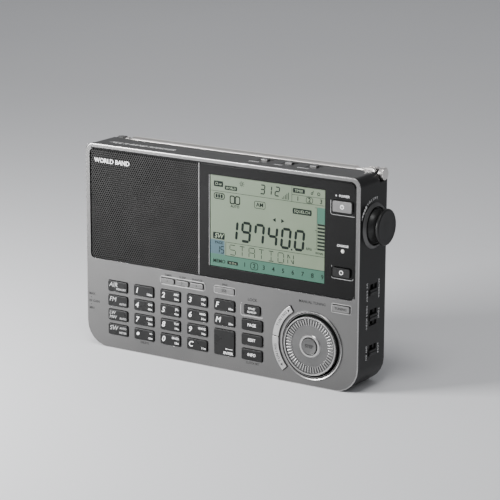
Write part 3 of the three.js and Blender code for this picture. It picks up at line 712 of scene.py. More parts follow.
def rimDistance(point):
    # signed distance from the panel's rounded outline
    radius = panel["topRadius"] if point.z > panelTop / 2 else panel["bottomRadius"]
    halfWide, halfHigh = panelWidth / 2, panelTop / 2
    dx = abs(point.x) - (halfWide - radius)
    dz = abs(point.z - halfHigh) - (halfHigh - radius)
    outside = math.hypot(max(dx, 0), max(dz, 0))
    return outside + min(max(dx, dz), 0) - radius


def makePanel():
    obj = copyNode("front_panel", "frontPanel")
    flattenRing(obj)
    startEdit(obj, "EDGE")

    def onRim(*ends):
        return all(abs(p.y - panelFront) < 0.02 * mm and abs(rimDistance(p)) < 0.06 * mm for p in ends)

    # bevels of the rim and the key holes near the front take the bright material as a painted highlight; the rim's
    # sides behind the silver edge are black
    def finishOf(face):
        centre, out = face.center, -face.normal.y
        if rimDistance(centre) > -panel["rimWidth"] and centre.y > panelFront + panel["silverEdge"]:
            return 2
        return 0.05 < out < 0.995 and centre.y < panelFront + 1.3 * mm

    chooseEdges(obj, onRim)
    bpy.ops.mesh.bevel(offset=panel["rimBevel"], segments=5, profile=0.6, affect="EDGES")
    stopEdit()
    softenEdges(obj, panel["holeBevel"], 2, 50)
    smooth(obj, 30)
    paintFaces(obj, (silverPaint, brightMetalAndHighlight, caseBlack), finishOf)
    finishPiece(obj, "case", silverPaint, "silver_panel", "front_panel")
    makeDialRing()
    print("front panel made")


ring = {"proud": 0.8, "width": 1.9, "well": 1.4}
dialLow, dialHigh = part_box("tuning_dial")
dialX = (dialLow.x + dialHigh.x) / 2
dialZ = (dialLow.z + dialHigh.z) / 2
dialRadius = (dialHigh.x - dialLow.x) / 2
dialFront = dialLow.y


def fromDial(point):
    return math.hypot(point.x - dialX, point.z - dialZ)


def flattenRing(obj):
    # the ring is brought down to the panel's face; a turned lip takes its place
    for vertex in obj.data.vertices:
        if vertex.co.y < panelFront - 0.1 * mm:
            vertex.co.y = panelFront
    startEdit(obj, "VERT")
    selectAll()
    bpy.ops.mesh.remove_doubles(threshold=0.01 * mm)
    bpy.ops.mesh.dissolve_limited(angle_limit=math.radians(0.6), use_dissolve_boundaries=False)
    stopEdit()


def makeDialRing():
    # a lip turned round the dial: its bright outer edge is a painted highlight, and the slope running down into the
    # dial's well, with the well itself, is painted black as painted shade
    inner = dialRadius / mm + ring["well"]
    outer = inner + ring["width"]
    top = -ring["proud"]
    points = [(outer + 0.1, 0.02), (outer + 0.02, top * 0.75), (outer - 0.3, top - 0.1), (outer - 0.75, top),
              (outer - 1.1, top * 0.55), (inner - 0.6, 1.1), (inner - 0.6, 2.2), (inner + 0.2, 2.2),
              (inner + 0.2, 0.02), (outer + 0.1, 0.02)]
    lip = turnProfile("dialRing", points, (dialX, panelFront, dialZ), (0, 1, 0), 128)
    smooth(lip, 50)
    # painted shade: faces inside the bright edge, the slope and the well, take the black finish
    paintFaces(lip, (brightMetalAndHighlight, knobBlack), lambda face: fromDial(face.center) <= (outer - 0.95) * mm)
    finishPiece(lip, "case", brightMetalAndHighlight, "silver_panel")


grille = {"pitch": 1.55 * mm, "hole": 0.60 * mm, "depth": 0.45 * mm, "margin": 0.3 * mm,
          "cornerClip": 0.77 * mm}


def makeGrille():
    lo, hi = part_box("speaker_grille")
    backing = copyNode("speaker_grille", "speakerGrille")
    face = lo.y + grille["depth"] + 0.05 * mm
    for vertex in backing.data.vertices:
        if vertex.co.y < (lo.y + hi.y) / 2:
            vertex.co.y = face
    cell = grille["pitch"] / math.sqrt(3)
    clearSelection()
    bpy.ops.mesh.primitive_circle_add(
        vertices=6, radius=cell, fill_type="NGON", location=(lo.x, lo.y, lo.z), rotation=(math.pi / 2, 0, 0),
    )
    sheet = settle(bpy.context.object)
    startEdit(sheet)
    selectAll()
    bpy.ops.mesh.inset(thickness=(cell - grille["hole"]) * 0.866)
    bpy.ops.mesh.extrude_region_move(TRANSFORM_OT_translate={"value": (0, grille["depth"], 0)})
    stopEdit()
    columns = math.ceil((hi.x - lo.x) / grille["pitch"]) + 1
    rows = math.ceil((hi.z - lo.z) / (3 * cell)) + 1
    pair = copyPiece(sheet, Matrix.Translation((grille["pitch"] / 2, 0, 1.5 * cell)))
    sheet = joinAll([sheet, pair], "grilleSheet")
    for count, step in ((columns, (grille["pitch"], 0, 0)), (rows, (0, 0, 3 * cell))):
        applyModifier(
            sheet, "ARRAY", count=count, use_relative_offset=False, use_constant_offset=True,
            constant_offset_displace=step,
        )
    startEdit(sheet, "VERT")
    selectAll()
    bpy.ops.mesh.remove_doubles(threshold=0.01 * mm)
    edge = grille["margin"]
    walls = [((lo.x + edge, 0, 0), (-1, 0, 0)), ((hi.x - edge, 0, 0), (1, 0, 0)),
             ((0, 0, lo.z + edge), (0, 0, -1)), ((0, 0, hi.z - edge), (0, 0, 1))]
    for side, z in ((-1, lo.z + edge), (1, hi.z - edge)):  # clipped outer corners
        clip = grille["cornerClip"]
        walls.append(((lo.x + edge + clip, 0, z - side * clip), (-0.7071, 0, side * 0.7071)))
    for spot, normal in walls:
        selectAll()
        bpy.ops.mesh.bisect(plane_co=spot, plane_no=normal, clear_outer=True)
    stopEdit()
    startEdit(sheet, "EDGE")
    bpy.ops.mesh.select_non_manifold()
    bpy.ops.mesh.extrude_region_move(TRANSFORM_OT_translate={"value": (0, 0.4 * mm, 0)})
    stopEdit()
    whole = joinAll([backing, sheet], "speakerGrille")
    # painted shade: the walls and floors of the hole pockets, and the backing behind, take a darker, duller finish than
    # the grille face
    paintFaces(whole, (grilleMetal, grilleHoleShade), lambda face: 0.1 * mm < face.center.y - lo.y < 0.55 * mm)
    finishPiece(whole, "case", grilleMetal, "grille_metal", "speaker_grille")
    strip = addBlock("grilleTrim", (hi.x - 0.1 * mm, lo.y - 0.15 * mm, lo.z),
                     (hi.x + 0.35 * mm, lo.y + 0.7 * mm, hi.z))
    softenEdges(strip, 0.12 * mm, 2)
    finishPiece(strip, "case", brightMetalAndHighlight, "grille_metal")
    badge = faceText("front", "WORLD BAND", 4.1, lo.x + 3.4 * mm, hi.z - 7.2 * mm, lo.y - 0.22 * mm,
                     weight=0.014, align="LEFT", deep=0.45 * mm)
    badge.name = "grilleBadge"
    finishPiece(badge, "case", whiteInk, "grille_metal")
    print("grille made")


def makeWindow():
    lo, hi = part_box("display_window")
    obj = copyNode("display_window", "displayWindow")
    finishNode(obj, "display_window", "case", windowBlack, "window_gloss", 0.22, 2, 50, 30)
    bezel = addBlock("lcdEdge", (lcdLeft - 0.75 * mm, lo.y - 0.04 * mm, lcdBottom),
                     (lcdLeft - 0.5 * mm, lo.y + 0.1 * mm, lcdTop))
    softenEdges(bezel, 0.03 * mm, 1)
    finishPiece(bezel, "case", greyInk, "window_gloss")
    plane = lo.y - ink / 2
    powerLow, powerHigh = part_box("key_power")
    lightLow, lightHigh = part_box("key_light")
    keyX = (powerLow.x + powerHigh.x) / 2
    wordZ = powerHigh.z + 2.0 * mm
    ledZ = 88.5 * mm
    marks = [
        faceText("front", "POWER", 2.1, keyX + 0.6 * mm, wordZ, plane),
        layOn(flatBar(0.9 * mm, 0.9 * mm, 0.25 * mm), "front", keyX - 5.0 * mm, wordZ, plane),
        faceText("front", "CHARGE", 2.0, keyX, ledZ + 3.2 * mm, plane, weight=0.01),
    ]
    finishPiece(joinAll(marks, "windowWords"), "case", whiteInk, "window_gloss")
    bar = 0.22 * mm
    lightLeft = lightLow.x - 0.9 * mm
    brackets = outlineBars("front", [(lightLeft, lightHigh.z), (lightLeft, lightLow.z)], bar, plane)
    for keyLow, keyHigh, side in ((powerLow, powerHigh, 1.2 * mm), (lightLow, lightHigh, 0.9 * mm)):
        spots = roundSpots(keyLow.x - side, keyLow.z - side, keyHigh.x + side, keyHigh.z, 1.1 * mm, 3)
        brackets += outlineBars("front", spots[7:16], bar, plane)
    finishPiece(joinAll(brackets, "windowBrackets"), "case", greyInk, "window_gloss")
    edgeLeft, edgeRight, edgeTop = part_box("speaker_grille")[0].x, hi.x + 0.75 * mm, hi.z + 0.75 * mm
    edge = roundSpots(edgeLeft - 0.3 * mm, lo.z - 0.3 * mm, edgeRight, edgeTop, 3.4 * mm, 6)
    edge = [(edgeRight, lo.z + 1.5 * mm)] + edge[:7] + [(edgeLeft + 1.5 * mm, edgeTop)]
    # painted shade: a dark band laid round the window opening in place of the shadowed groove at its edge
    shadow = outlineBars("front", edge, 0.95 * mm, panelFront - 0.01 * mm, 0.1 * mm)
    finishPiece(joinAll(shadow, "openingShadeBand"), "case", windowBlack, "window_gloss")
    points = [(0, -0.45), (0.6, -0.38), (1.0, -0.15), (1.25, 0.05), (0, 0.05)]
    led = turnProfile("chargeLed", points, (keyX, lo.y, ledZ), (0, 1, 0), 24)
    smooth(led, 50)
    lens = cloudyMaterial("ledLens", (0.62, 0.62, 0.58), (0.80, 0.80, 0.76), 700, 0.25, coat=0.6)
    finishPiece(led, "case", lens, "window_gloss")
    print("window made")


# keys and their legends

keyLegends = {  # large figure, small words above and below it on the right
    "key_air": ("AIR", "", "MEMORY"), "key_fm": ("FM", "", "AUTO"), "key_lw_mw": ("LW", "MW", "AUTO"),
    "key_sw": ("SW", "AUTO", "METER"), "key_1": ("1", "", "120m"), "key_2": ("2", "ABC", "90m"),
    "key_3": ("3", "DEF", "75m"), "key_4": ("4", "GHI", "49m"), "key_5": ("5", "JKL", "41m"),
    "key_6": ("6", "MNO", "31m"), "key_7": ("7", "PQRS", "22m"), "key_8": ("8", "TUV", "19m"),
    "key_9": ("9", "WXYZ", "16m"), "key_dot": ("•", "+/-", "15m"), "key_0": ("0", "SPACE", "13m"),
    "key_c": ("C", "", "11m"), "key_f": ("F", "", "60m"), "key_m": ("M", "", "25m"),
}
middleLegends = {
    "key_page": ("PAGE", 2.6), "key_edit": ("EDIT", 2.6), "key_info": ("INFO", 2.6),
    "key_timer_1": ("1", 1.9), "key_timer_2": ("2", 1.9), "key_timer_3": ("3", 1.9), "key_ssb": ("SSB", 2.5),
    "key_tune_mode": ("TUNING", 2.2),
}
silverKeys = ("key_timer_1", "key_timer_2", "key_timer_3", "key_ssb", "key_tune_mode", "key_power")
bandKeys = ("key_air", "key_fm", "key_lw_mw", "key_sw")
keyShape = {"bevel": 0.55, "flange": 0.8 * mm}


def keyFace(node):
    # middle, left, bottom, right (without the hidden flange) and the plane for its legend
    lo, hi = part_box(node)
    side = 0.4 * mm if "timer" in node else keyShape["flange"]
    return ((lo.x + hi.x) / 2, (lo.z + hi.z) / 2, lo.x + side, lo.z + keyShape["flange"], hi.x - side,
            lo.y - ink / 2)


def figureLegend(node, z, left, right, plane):
    large, upper, lower = keyLegends[node]
    if node == "key_lw_mw":
        marks = [faceText("front", words, 3.1, left + 1.0 * mm, z + rise * mm, plane, slant=0.2, align="LEFT")
                 for words, rise in ((large, 1.6), (upper, -1.3))]
        upper = ""
    else:
        band = node in bandKeys
        size = 8.0 if node == "key_dot" else 4.3 if band else 5.0
        height = z + (1.0 * mm if band else 0)
        marks = [faceText("front", large, size, left + 1.1 * mm, height, plane, slant=0.22,
                          weight=0.0 if band else 0.01, align="LEFT")]
    for words, drop in ((upper, 1.5), (lower, -1.6)):
        if words:
            marks.append(faceText("front", words, 1.9, right - 0.9 * mm, z + drop * mm, plane,
                                  weight=0.014, align="RIGHT"))
    return marks


def enterLegend(bottom, right, plane):
    z = bottom + 4.6 * mm
    return [
        faceText("front", "ENTER", 2.4, right - 0.9 * mm, bottom + 1.8 * mm, plane, weight=0.014, align="RIGHT"),
        barBetween("front", (right - 5.6 * mm, z), (right - 1.4 * mm, z), 0.3 * mm, plane),
        layOn(flatBar(1.6 * mm, 0.8 * mm, 0.5 * mm), "front", right - 5.8 * mm, z, plane),
    ]


def symbolLegend(node, x, z, plane):
    marks = [layOn(flatRing(1.35 * mm, 0.95 * mm), "front", x, z, plane)]
    if node == "key_power":
        marks.append(layOn(flatBar(1.5 * mm, 0.4 * mm, 0.05 * mm), "front", x, z + 0.7 * mm, plane, 90))
    return marks


def makeKey(node):
    x, z, left, bottom, right, plane = keyFace(node)
    silver, body = node in silverKeys, bodyOf[node]
    slot = "key_silver" if silver else "key_black"
    obj = copyNode(node, "cap_" + node[4:])
    finishNode(obj, node, body, keySilver if silver else keyBlack, slot, keyShape["bevel"], 3, 40)
    inkUsed = darkInk if silver and node != "key_power" else greyInk if node in bandKeys else whiteInk
    if node in keyLegends:
        marks = figureLegend(node, z, left, right, plane)
    elif node in middleLegends:
        words, size = middleLegends[node]
        marks = [faceText("front", words, size, x, z, plane, weight=0.015)]
    elif node == "key_scan":
        marks = [faceText("front", "BAND", 1.8, x, z + 1.1 * mm, plane),
                 faceText("front", "SEARCH", 1.8, x, z - 1.2 * mm, plane)]
    elif node == "key_enter":
        marks = enterLegend(bottom, right, plane)
    else:
        marks = symbolLegend(node, x, z, plane)
    finishPiece(joinAll(marks, "legend_" + node[4:]), body, inkUsed, slot)


def makeKeys():
    for node in nodes:
        if node.startswith("key_") and node not in ("key_mat", "key_board"):
            makeKey(node)
    print("keys made")


panelWords = [  # words, size, place from the panel's left and bottom edges
    ("MAX", 2.2, 1.9, 34.4, "LEFT"), ("RF GAIN", 2.2, 1.9, 29.6, "LEFT"), ("MIN", 2.2, 1.9, 24.8, "LEFT"),
    ("TIMER", 2.0, 64.6, 55.3, "CENTER"), ("SLEEP", 2.0, 75.6, 55.3, "CENTER"), ("SNOOZE", 2.0, 86.8, 55.3, "CENTER"),
    ("FINE", 2.0, 107.6, 55.3, "CENTER"), ("LOCK", 2.6, 128.2, 48.6, "CENTER"), ("DELETE", 1.9, 45.9, 7.6, "CENTER"),
    ("CLOCK SET", 1.9, 128.4, 7.6, "CENTER"), ("MANUAL TUNING", 2.3, 171.5, 53.4, "CENTER"),
]


def makePanelWords():
    plane = panelFront - ink / 2
    dark = [faceText("front", words, size, panelLeft + x * mm, z * mm, plane, weight=0.01, align=align)
            for words, size, x, z, align in panelWords]
    for z in (32.1, 27.3):
        dark.append(layOn(flatBar(0.6 * mm, 0.6 * mm, 0.15 * mm), "front", panelLeft + 3.4 * mm, z * mm, plane))
    finishPiece(joinAll(dark, "panelWords"), "case", darkInk, "silver_panel")
    timerLow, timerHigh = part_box("key_timer_1")[0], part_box("key_timer_3")[1]
    spots = roundSpots(timerLow.x - 0.55 * mm, timerLow.z - 0.15 * mm, timerHigh.x + 0.55 * mm,
                       timerHigh.z + 0.2 * mm, 1.0 * mm, 3)
    light = outlineBars("front", spots, 0.4 * mm, panelFront - 0.1 * mm, 0.2 * mm)
    lo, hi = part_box("key_scan")
    spots = [(lo.x - 1.2 * mm, hi.z), (lo.x - 1.7 * mm, hi.z - 0.5 * mm), (lo.x - 1.7 * mm, lo.z + 0.4 * mm),
             (lo.x - 0.8 * mm, lo.z - 0.4 * mm), (hi.x + 0.6 * mm, lo.z - 0.4 * mm)]
    light += outlineBars("front", spots, 0.55 * mm, panelFront - 0.12 * mm, 0.24 * mm)
    for node, grow in (("key_tune_mode", -0.1 * mm), ("key_ssb", -0.25 * mm)):
        lo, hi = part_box(node)
        spots = roundSpots(lo.x - grow, lo.z - grow, hi.x + grow, hi.z + grow, 0.8 * mm, 2)
        light += outlineBars("front", spots, 0.32 * mm, panelFront - 0.08 * mm, 0.16 * mm)
    finishPiece(joinAll(light, "keyBorders"), "case", brightMetalAndHighlight, "silver_panel")
    print("panel words made")


# tuning dial and the keys around it

dial = {"ridges": 52, "ridgeInner": 13.2, "ridgeOuter": 16.9, "ridgeWidth": 0.58, "dish": 0.75, "collar": 7.2,
        "bore": 5.62}


def makeDial():
    centre = (dialX, dialFront, dialZ)
    rim, depth = dialRadius / mm, (dialHigh.y - dialLow.y) / mm
    dish, bore, collar = dial["dish"], dial["bore"], dial["collar"]
    points = [
        (bore, depth), (bore, 0.25), (bore + 0.25, 0), (collar - 0.35, 0), (collar, 0.3), (collar + 0.3, dish),
        (12.0, dish + 0.12), (rim - 1.5, dish), (rim - 1.2, 0.12), (rim - 0.8, 0), (rim - 0.35, 0.05),
        (rim - 0.05, 0.4), (rim - 0.02, 1.2), (rim - 0.02, 4.6), (8, 4.6), (8, depth), (bore, depth),
    ]
    disc = turnProfile("dialDisc", points, centre, (0, 1, 0), 144)
    smooth(disc, 40)

    # painted highlight: the dial's outer rim and the collar round the bore take the bright material
    def onLip(face):
        radius = fromDial(face.center) / mm
        return (radius > rim - 1.0 or bore < radius < collar + 0.2) and face.center.y < dialFront + 1.0 * mm

    paintFaces(disc, (dialSilver, brightMetalAndHighlight), onLip)
    half = dial["ridgeWidth"] / 2 * mm
    ridge = addBlock("ridge", (dialX - half, dialFront + (dish - 0.6) * mm, dialZ + dial["ridgeInner"] * mm),
                     (dialX + half, dialFront + (dish + 0.3) * mm, dialZ + dial["ridgeOuter"] * mm))
    softenEdges(ridge, 0.16 * mm, 2)
    here = Matrix.Translation(centre)
    ridges = []
    for index in range(dial["ridges"]):
        spin = Matrix.Rotation(2 * math.pi * (index + 0.5) / dial["ridges"], 4, "Y")
        ridges.append(copyPiece(ridge, here @ spin @ here.inverted()))
    bpy.data.objects.remove(ridge)
    ribs = joinAll(ridges, "dialRidges")
    smooth(ribs, 40)
    # painted highlight: the ridges take the bright material in place of light along their crests
    finishPiece(ribs, "tuning_dial", brightMetalAndHighlight, "dial_silver")
    finishPiece(disc, "tuning_dial", dialSilver, "dial_silver", "tuning_dial")
    makeStepButton()
    makeArcKeys()
    print("dial made")


def makeStepButton():
    lo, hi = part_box("step_button")
    radius, depth = (hi.x - lo.x) / 2 / mm, (hi.y - lo.y) / mm
    points = [(0, 0.28), (2.5, 0.24), (radius - 1.0, 0.12), (radius - 0.6, 0.02), (radius - 0.25, 0.06),
              (radius, 0.5), (radius, depth), (0, depth)]
    cap = turnProfile("stepCap", points, (dialX, lo.y, dialZ), (0, 1, 0), 72)
    smooth(cap, 50)
    finishPiece(cap, "step_button", dialSilver, "dial_silver", "step_button")
    word = faceText("front", "STEP", 2.9, dialX, dialZ, lo.y + 0.2 * mm, weight=0.014)
    word.name = "stepWord"
    finishPiece(word, "step_button", darkInk, "dial_silver")


arcKeys = {"tune_up_key": (157.5, 129, -51), "tune_down_key": (210.5, 216, 216)}  # word, arrow, arrow's turn
arcRadius = 25.6 * mm


def makeArcKeys():
    for node, (start, arrow, turn) in arcKeys.items():
        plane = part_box(node)[0].y - ink / 2
        finishNode(copyNode(node, "cap_" + node), node, bodyOf[node], brightMetalAndHighlight, "dial_silver", 0.35, 3, 45)
        marks = arcWord("front", "TUNING", 2.5, (dialX, dialZ), arcRadius, start, 4.6, plane)
        x, z = dialX + arcRadius * math.cos(math.radians(arrow)), dialZ + arcRadius * math.sin(math.radians(arrow))
        marks.append(layOn(flatArrow(1.1), "front", x, z, plane, turn))
        finishPiece(joinAll(marks, "legend_" + node), bodyOf[node], darkInk, "dial_silver")


# case, side controls and top keys

screwSpots = [(-94, 118), (94, 112), (-94, 20), (94, 20), (-10, 118), (-8, 10)]
sockets = {"phones": (96, 3.6), "line_out": (84, 3.6), "line_in": (72, 3.6), "dc": (58, 4.2)}
screwWell = {"radius": 3.0, "depth": 1.5}


def boreWall(obj):
    # wells for the screws at the back and bores for the sockets on the left
    bores = [((x * mm, backFace, z * mm), screwWell["radius"], 2 * screwWell["depth"], 32, "X") for x, z in screwSpots]
    bores += [((leftFace, 0, height * mm), radius - 0.3, 4, 40, "Y") for height, radius in sockets.values()]
    cutters = []
    for place, radius, depth, steps, axis in bores:
        clearSelection()
        turn = (math.pi / 2, 0, 0) if axis == "X" else (0, math.pi / 2, 0)
        bpy.ops.mesh.primitive_cylinder_add(
            vertices=steps, radius=radius * mm, depth=depth * mm, location=place, rotation=turn,
        )
        cutters.append(settle(bpy.context.object))
    cutter = joinAll(cutters, "cutter")
    applyModifier(obj, "BOOLEAN", object=cutter, operation="DIFFERENCE", solver="EXACT")
    bpy.data.objects.remove(cutter)


def makeCase():
    obj = copyNode("rear_case", "rearCase")
    boreWall(obj)
    finishNode(obj, "rear_case", "case", caseBlack, "case_black", 0.22, 2, 50, 32)
    print("case made")


def makeKnob():
    lo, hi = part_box("volume_knob")
    centre = (panelRight, (lo.y + hi.y) / 2, (lo.z + hi.z) / 2)
    start, end, radius = (lo.x - panelRight) / mm, (hi.x - panelRight) / mm, (hi.z - lo.z) / 2 / mm
    points = [
        (0, start), (3, start), (3, 0.8), (11.0, 0.8), (10.9, 1.4), (10.5, 2.4), (10.2, 3.6), (10.1, 4.8),
        (10.3, 5.8), (radius - 0.4, 6.4), (radius - 0.1, 6.75), (radius, 7.1), (radius, 7.8), (radius - 0.2, 8.3),
        (radius - 0.7, 8.65), (radius - 1.4, 8.72), (radius - 2.1, 8.55), (4, end - 0.35), (0, end - 0.28),
    ]
    obj = turnProfile("volumeKnob", points, centre, (1, 0, 0), 96)
    smooth(obj, 40)
    finishPiece(obj, "volume_knob", knobBlack, "knob_black", "volume_knob")
    points = [(12.0, 0.3), (12.0, 1.5), (12.4, 1.7), (12.8, 1.6), (14.2, 0.25), (14.2, -0.1), (12.0, -0.1), (12.0, 0.3)]
    collar = turnProfile("knobCollar", points, (sideFace, *centre[1:]), (1, 0, 0), 96)
    smooth(collar, 50)
    finishPiece(collar, "case", dialSilver, "case_black")
    plane, reach = sideFace + ink, 16.6 * mm
    marks = arcWord("right", "VOLUME", 2.2, centre[1:], 16.8 * mm, 120, 8.0, plane)
    for index in range(7):  # rising wedge
        turn = 172 - 7.2 * index
        y = centre[1] + reach * math.cos(math.radians(turn))
        z = centre[2] + reach * math.sin(math.radians(turn))
        bar = flatBar(1.7 * mm, (0.5 + 0.22 * index) * mm, 0.1 * mm)
        marks.append(layOn(bar, "right", y, z, plane, turn + 90))
    finishPiece(joinAll(marks, "volumeMarks"), "case", whiteInk, "case_black")
    print("knob made")


switchWords = {
    "slide_switch_1": ("ANTENNA", "DX NORM"), "slide_switch_2": ("TONE", "NEWS MUSIC"),
    "slide_switch_3": ("LOCK", "OFF ON"),
}


def makeSwitches():
    marks = []
    plane = sideFace + ink
    for node, (front, rear) in switchWords.items():
        lo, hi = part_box(node)
        z = (lo.z + hi.z) / 2
        finishNode(copyNode(node, "nub_" + node), node, node, knobBlack, "knob_black", 0.14, 2, 40)
        ridge = addBlock("ridge_" + node, (hi.x - 0.25 * mm, lo.y + 0.4 * mm, z - 0.2 * mm),
                         (hi.x + 0.05 * mm, hi.y - 0.4 * mm, z + 0.2 * mm))
        softenEdges(ridge, 0.08 * mm, 2)
        finishPiece(ridge, node, knobBlack, "knob_black")
        for words, size, y, spacing in ((rear, 2.0, -7.4, 1.35), (front, 2.1, 7.0, 1.3)):
            marks.append(faceText("right", words, size, y * mm, z + 1 * mm, plane, -90, spacing=spacing))
    finishPiece(joinAll(marks, "switchWords"), "case", whiteInk, "case_black")
    print("switches made")


topWords = {"top_key_1": "STEREO", "top_key_2": "RESET", "top_key_3": "DISPLAY"}


def makeTopKeys():
    marks = []
    plane = topFace + ink
    for node, words in topWords.items():
        lo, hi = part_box(node)
        finishNode(copyNode(node, "cap_" + node), node, node, keySilver, "dial_silver", 0.3, 3, 40)
        marks.append(faceText("top", words, 2.1, (lo.x + hi.x) / 2 - 4 * mm, lo.y - 4.4 * mm, plane, weight=0.01))
    marks.append(faceText("top", "MULTI BAND RECEIVER", 4.4, panelLeft + 13 * mm, panelFront + 10.5 * mm, plane,
                          slant=0.35, weight=0.01, align="LEFT", spacing=1.1))
    finishPiece(joinAll(marks, "topWords"), "case", whiteInk, "case_black")
    print("top keys made")


def makeGainWheel():
    lo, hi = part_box("gain_wheel")
    middle = (lo + hi) / 2
    clearSelection()
    bpy.ops.mesh.primitive_cylinder_add(
        vertices=96, radius=(hi.z - lo.z) / 2, depth=hi.y - lo.y, location=middle, rotation=(math.pi / 2, 0, 0),
    )
    obj = settle(bpy.context.object)
    obj.name = "gainWheel"
    startEdit(obj)
    rim = [face for face in obj.data.polygons if abs(face.normal.y) < 0.5]
    rim.sort(key=lambda face: math.atan2(face.center.z - middle.z, face.center.x - middle.x))
    sunk = {face.index for face in rim[::2]}
    chooseFaces(obj, lambda face: face.index in sunk)
    bpy.ops.mesh.inset(thickness=0.06 * mm, depth=-0.35 * mm, use_individual=True)
    stopEdit()
    softenEdges(obj, 0.1 * mm, 1, 50)
    finishPiece(obj, "gain_wheel", knobBlack, "knob_black", "gain_wheel")


# back: door, stand, screws and sockets

backParts = {"ribs": 9, "ribPitch": 1.7 * mm}


def sinkBackFace(obj, border, depth):
    # the widest face at the back is inset and pushed in
    startEdit(obj)
    highest = max(face.area for face in obj.data.polygons if face.normal.y > 0.99)
    chooseFaces(obj, lambda face: face.normal.y > 0.99 and face.area >= highest * 0.999)
    bpy.ops.mesh.inset(thickness=border, depth=0)
    bpy.ops.transform.translate(value=(0, -depth, 0))
    stopEdit()


def makeDoor():
    lo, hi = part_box("battery_door")
    obj = copyNode("battery_door", "batteryDoor")
    sinkBackFace(obj, 2.2 * mm, 0.35 * mm)
    finishNode(obj, "battery_door", "battery_door", caseBlack, "case_black", 0.16)
    ribs = []
    middle = (lo.x + hi.x) / 2
    top = hi.z - 4 * mm
    for index in range(backParts["ribs"]):
        drop = index * backParts["ribPitch"]
        half = 7 * mm - 0.45 * mm * index
        rib = addBlock("rib", (middle - half, hi.y - 0.4 * mm, top - drop - 0.3 * mm),
                       (middle + half, hi.y - 0.02 * mm, top - drop + 0.3 * mm))
        softenEdges(rib, 0.12 * mm, 1)
        ribs.append(rib)
    finishPiece(joinAll(ribs, "doorRibs"), "battery_door", keyBlack, "case_black")


def makeStand():
    obj = copyNode("tilt_stand", "tiltStand")
    sinkBackFace(obj, 5 * mm, 0.5 * mm)
    finishNode(obj, "tilt_stand", "tilt_stand", caseBlack, "case_black", 0.2)


def makeScrews():
    heads = []
    floor = -screwWell["depth"]
    points = [(0, floor + 0.35), (0.5, floor + 0.3), (0.8, floor + 1.1), (1.6, floor + 1.05), (2.4, floor + 0.6),
              (2.5, floor + 0.05), (0, floor + 0.05)]
    for x, z in screwSpots:
        heads.append(turnProfile("screw", points, (x * mm, backFace, z * mm), (0, 1, 0), 24))
        # painted shade: two flat dark bars on each head stand in for the shadowed cross recess
        for turn in (45, 135):
            slotShadeBar = flatBar(3.0 * mm, 0.5 * mm, 0.1 * mm, 0.06 * mm)
            heads.append(layOn(slotShadeBar, "back", x * mm, z * mm, backFace + (floor + 1.1) * mm, turn))
    screws = joinAll(heads, "backScrews")
    smooth(screws, 40)
    # the slot bars and the flat ring at the head's top take the dark finish; on the bars it is painted shade for the
    # cross recess
    paintFaces(screws, (chrome, knobBlack), lambda face: face.center.y > backFace + (floor + 1.06) * mm)
    finishPiece(screws, "case", chrome, "aerial_chrome")


def makeSockets():
    rings, words = [], []
    for name, (height, r) in sockets.items():
        points = [(r, -0.35), (r - 0.5, -0.35), (r - 0.9, 0.1), (1.75, 0.1), (1.7, 2.4), (0, 2.4), (0, 2.6), (r, 2.6),
                  (r, -0.35)]
        rings.append(turnProfile("socket", points, (leftFace, 0, height * mm), (1, 0, 0), 40))
        label = name.replace("_", " ").upper()
        words.append(faceText("left", label, 1.6, 0, (height + r + 1.6) * mm, leftFace - ink))
    block = joinAll(rings, "sideSockets")
    smooth(block, 40)
    finishPiece(block, "case", knobBlack, "case_black")
    words.append(faceText("left", "RF GAIN", 1.7, 0, 41.5 * mm, leftFace - ink))
    finishPiece(joinAll(words, "socketWords"), "case", whiteInk, "case_black")
    print("back and sockets made")


# aerial

aerial = {"steps": 40, "capLength": 3.3 * mm, "neckEnd": 5.3 * mm, "radii": (2.8, 2.3, 1.8, 1.3), "tip": 2.2}


def makeAerial():
    swivelLow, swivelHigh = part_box("antenna_swivel")
    y = (swivelLow.y + swivelHigh.y) / 2
    z = (swivelLow.z + swivelHigh.z) / 2
    swivel = copyNode("antenna_swivel", "aerialSwivel")
    softenEdges(swivel, 0.18 * mm, 2, 45)
    smooth(swivel, 40)
    paintFaces(swivel, (chrome, knobBlack),
               lambda face: aerial["capLength"] < swivelHigh.x - face.center.x < aerial["neckEnd"])
    finishPiece(swivel, "antenna_swivel", chrome, "aerial_chrome", "antenna_swivel")
    base = copyNode("antenna_base", "aerialBase")
    smooth(base, 50)
    finishPiece(base, "antenna_base", chrome, "aerial_chrome", "antenna_base")
    for index, r in enumerate(aerial["radii"], 1):
        node = "antenna_section_%d" % index
        lo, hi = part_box(node)
        start, end = lo.x / mm, hi.x / mm
        inner, tip = r - 0.3, aerial["tip"]
        if index < len(aerial["radii"]):
            points = [(inner, start), (r - 0.06, start), (r, start + 0.1), (r, end), (inner, end), (inner, start)]
        else:
            points = [(0, start), (tip - 0.7, start), (tip - 0.2, start + 0.25), (tip, start + 0.7),
                      (tip, start + 2.2), (tip - 0.2, start + 2.5), (r, start + 2.9), (r, end), (0, end)]
        tube = turnProfile("aerialSection%d" % index, points, (0, y, z), (1, 0, 0), aerial["steps"])
        smooth(tube, 40)
        finishPiece(tube, node, chrome, "aerial_chrome", node)
    print("aerial made")


# hidden parts keep their shape and take a finish

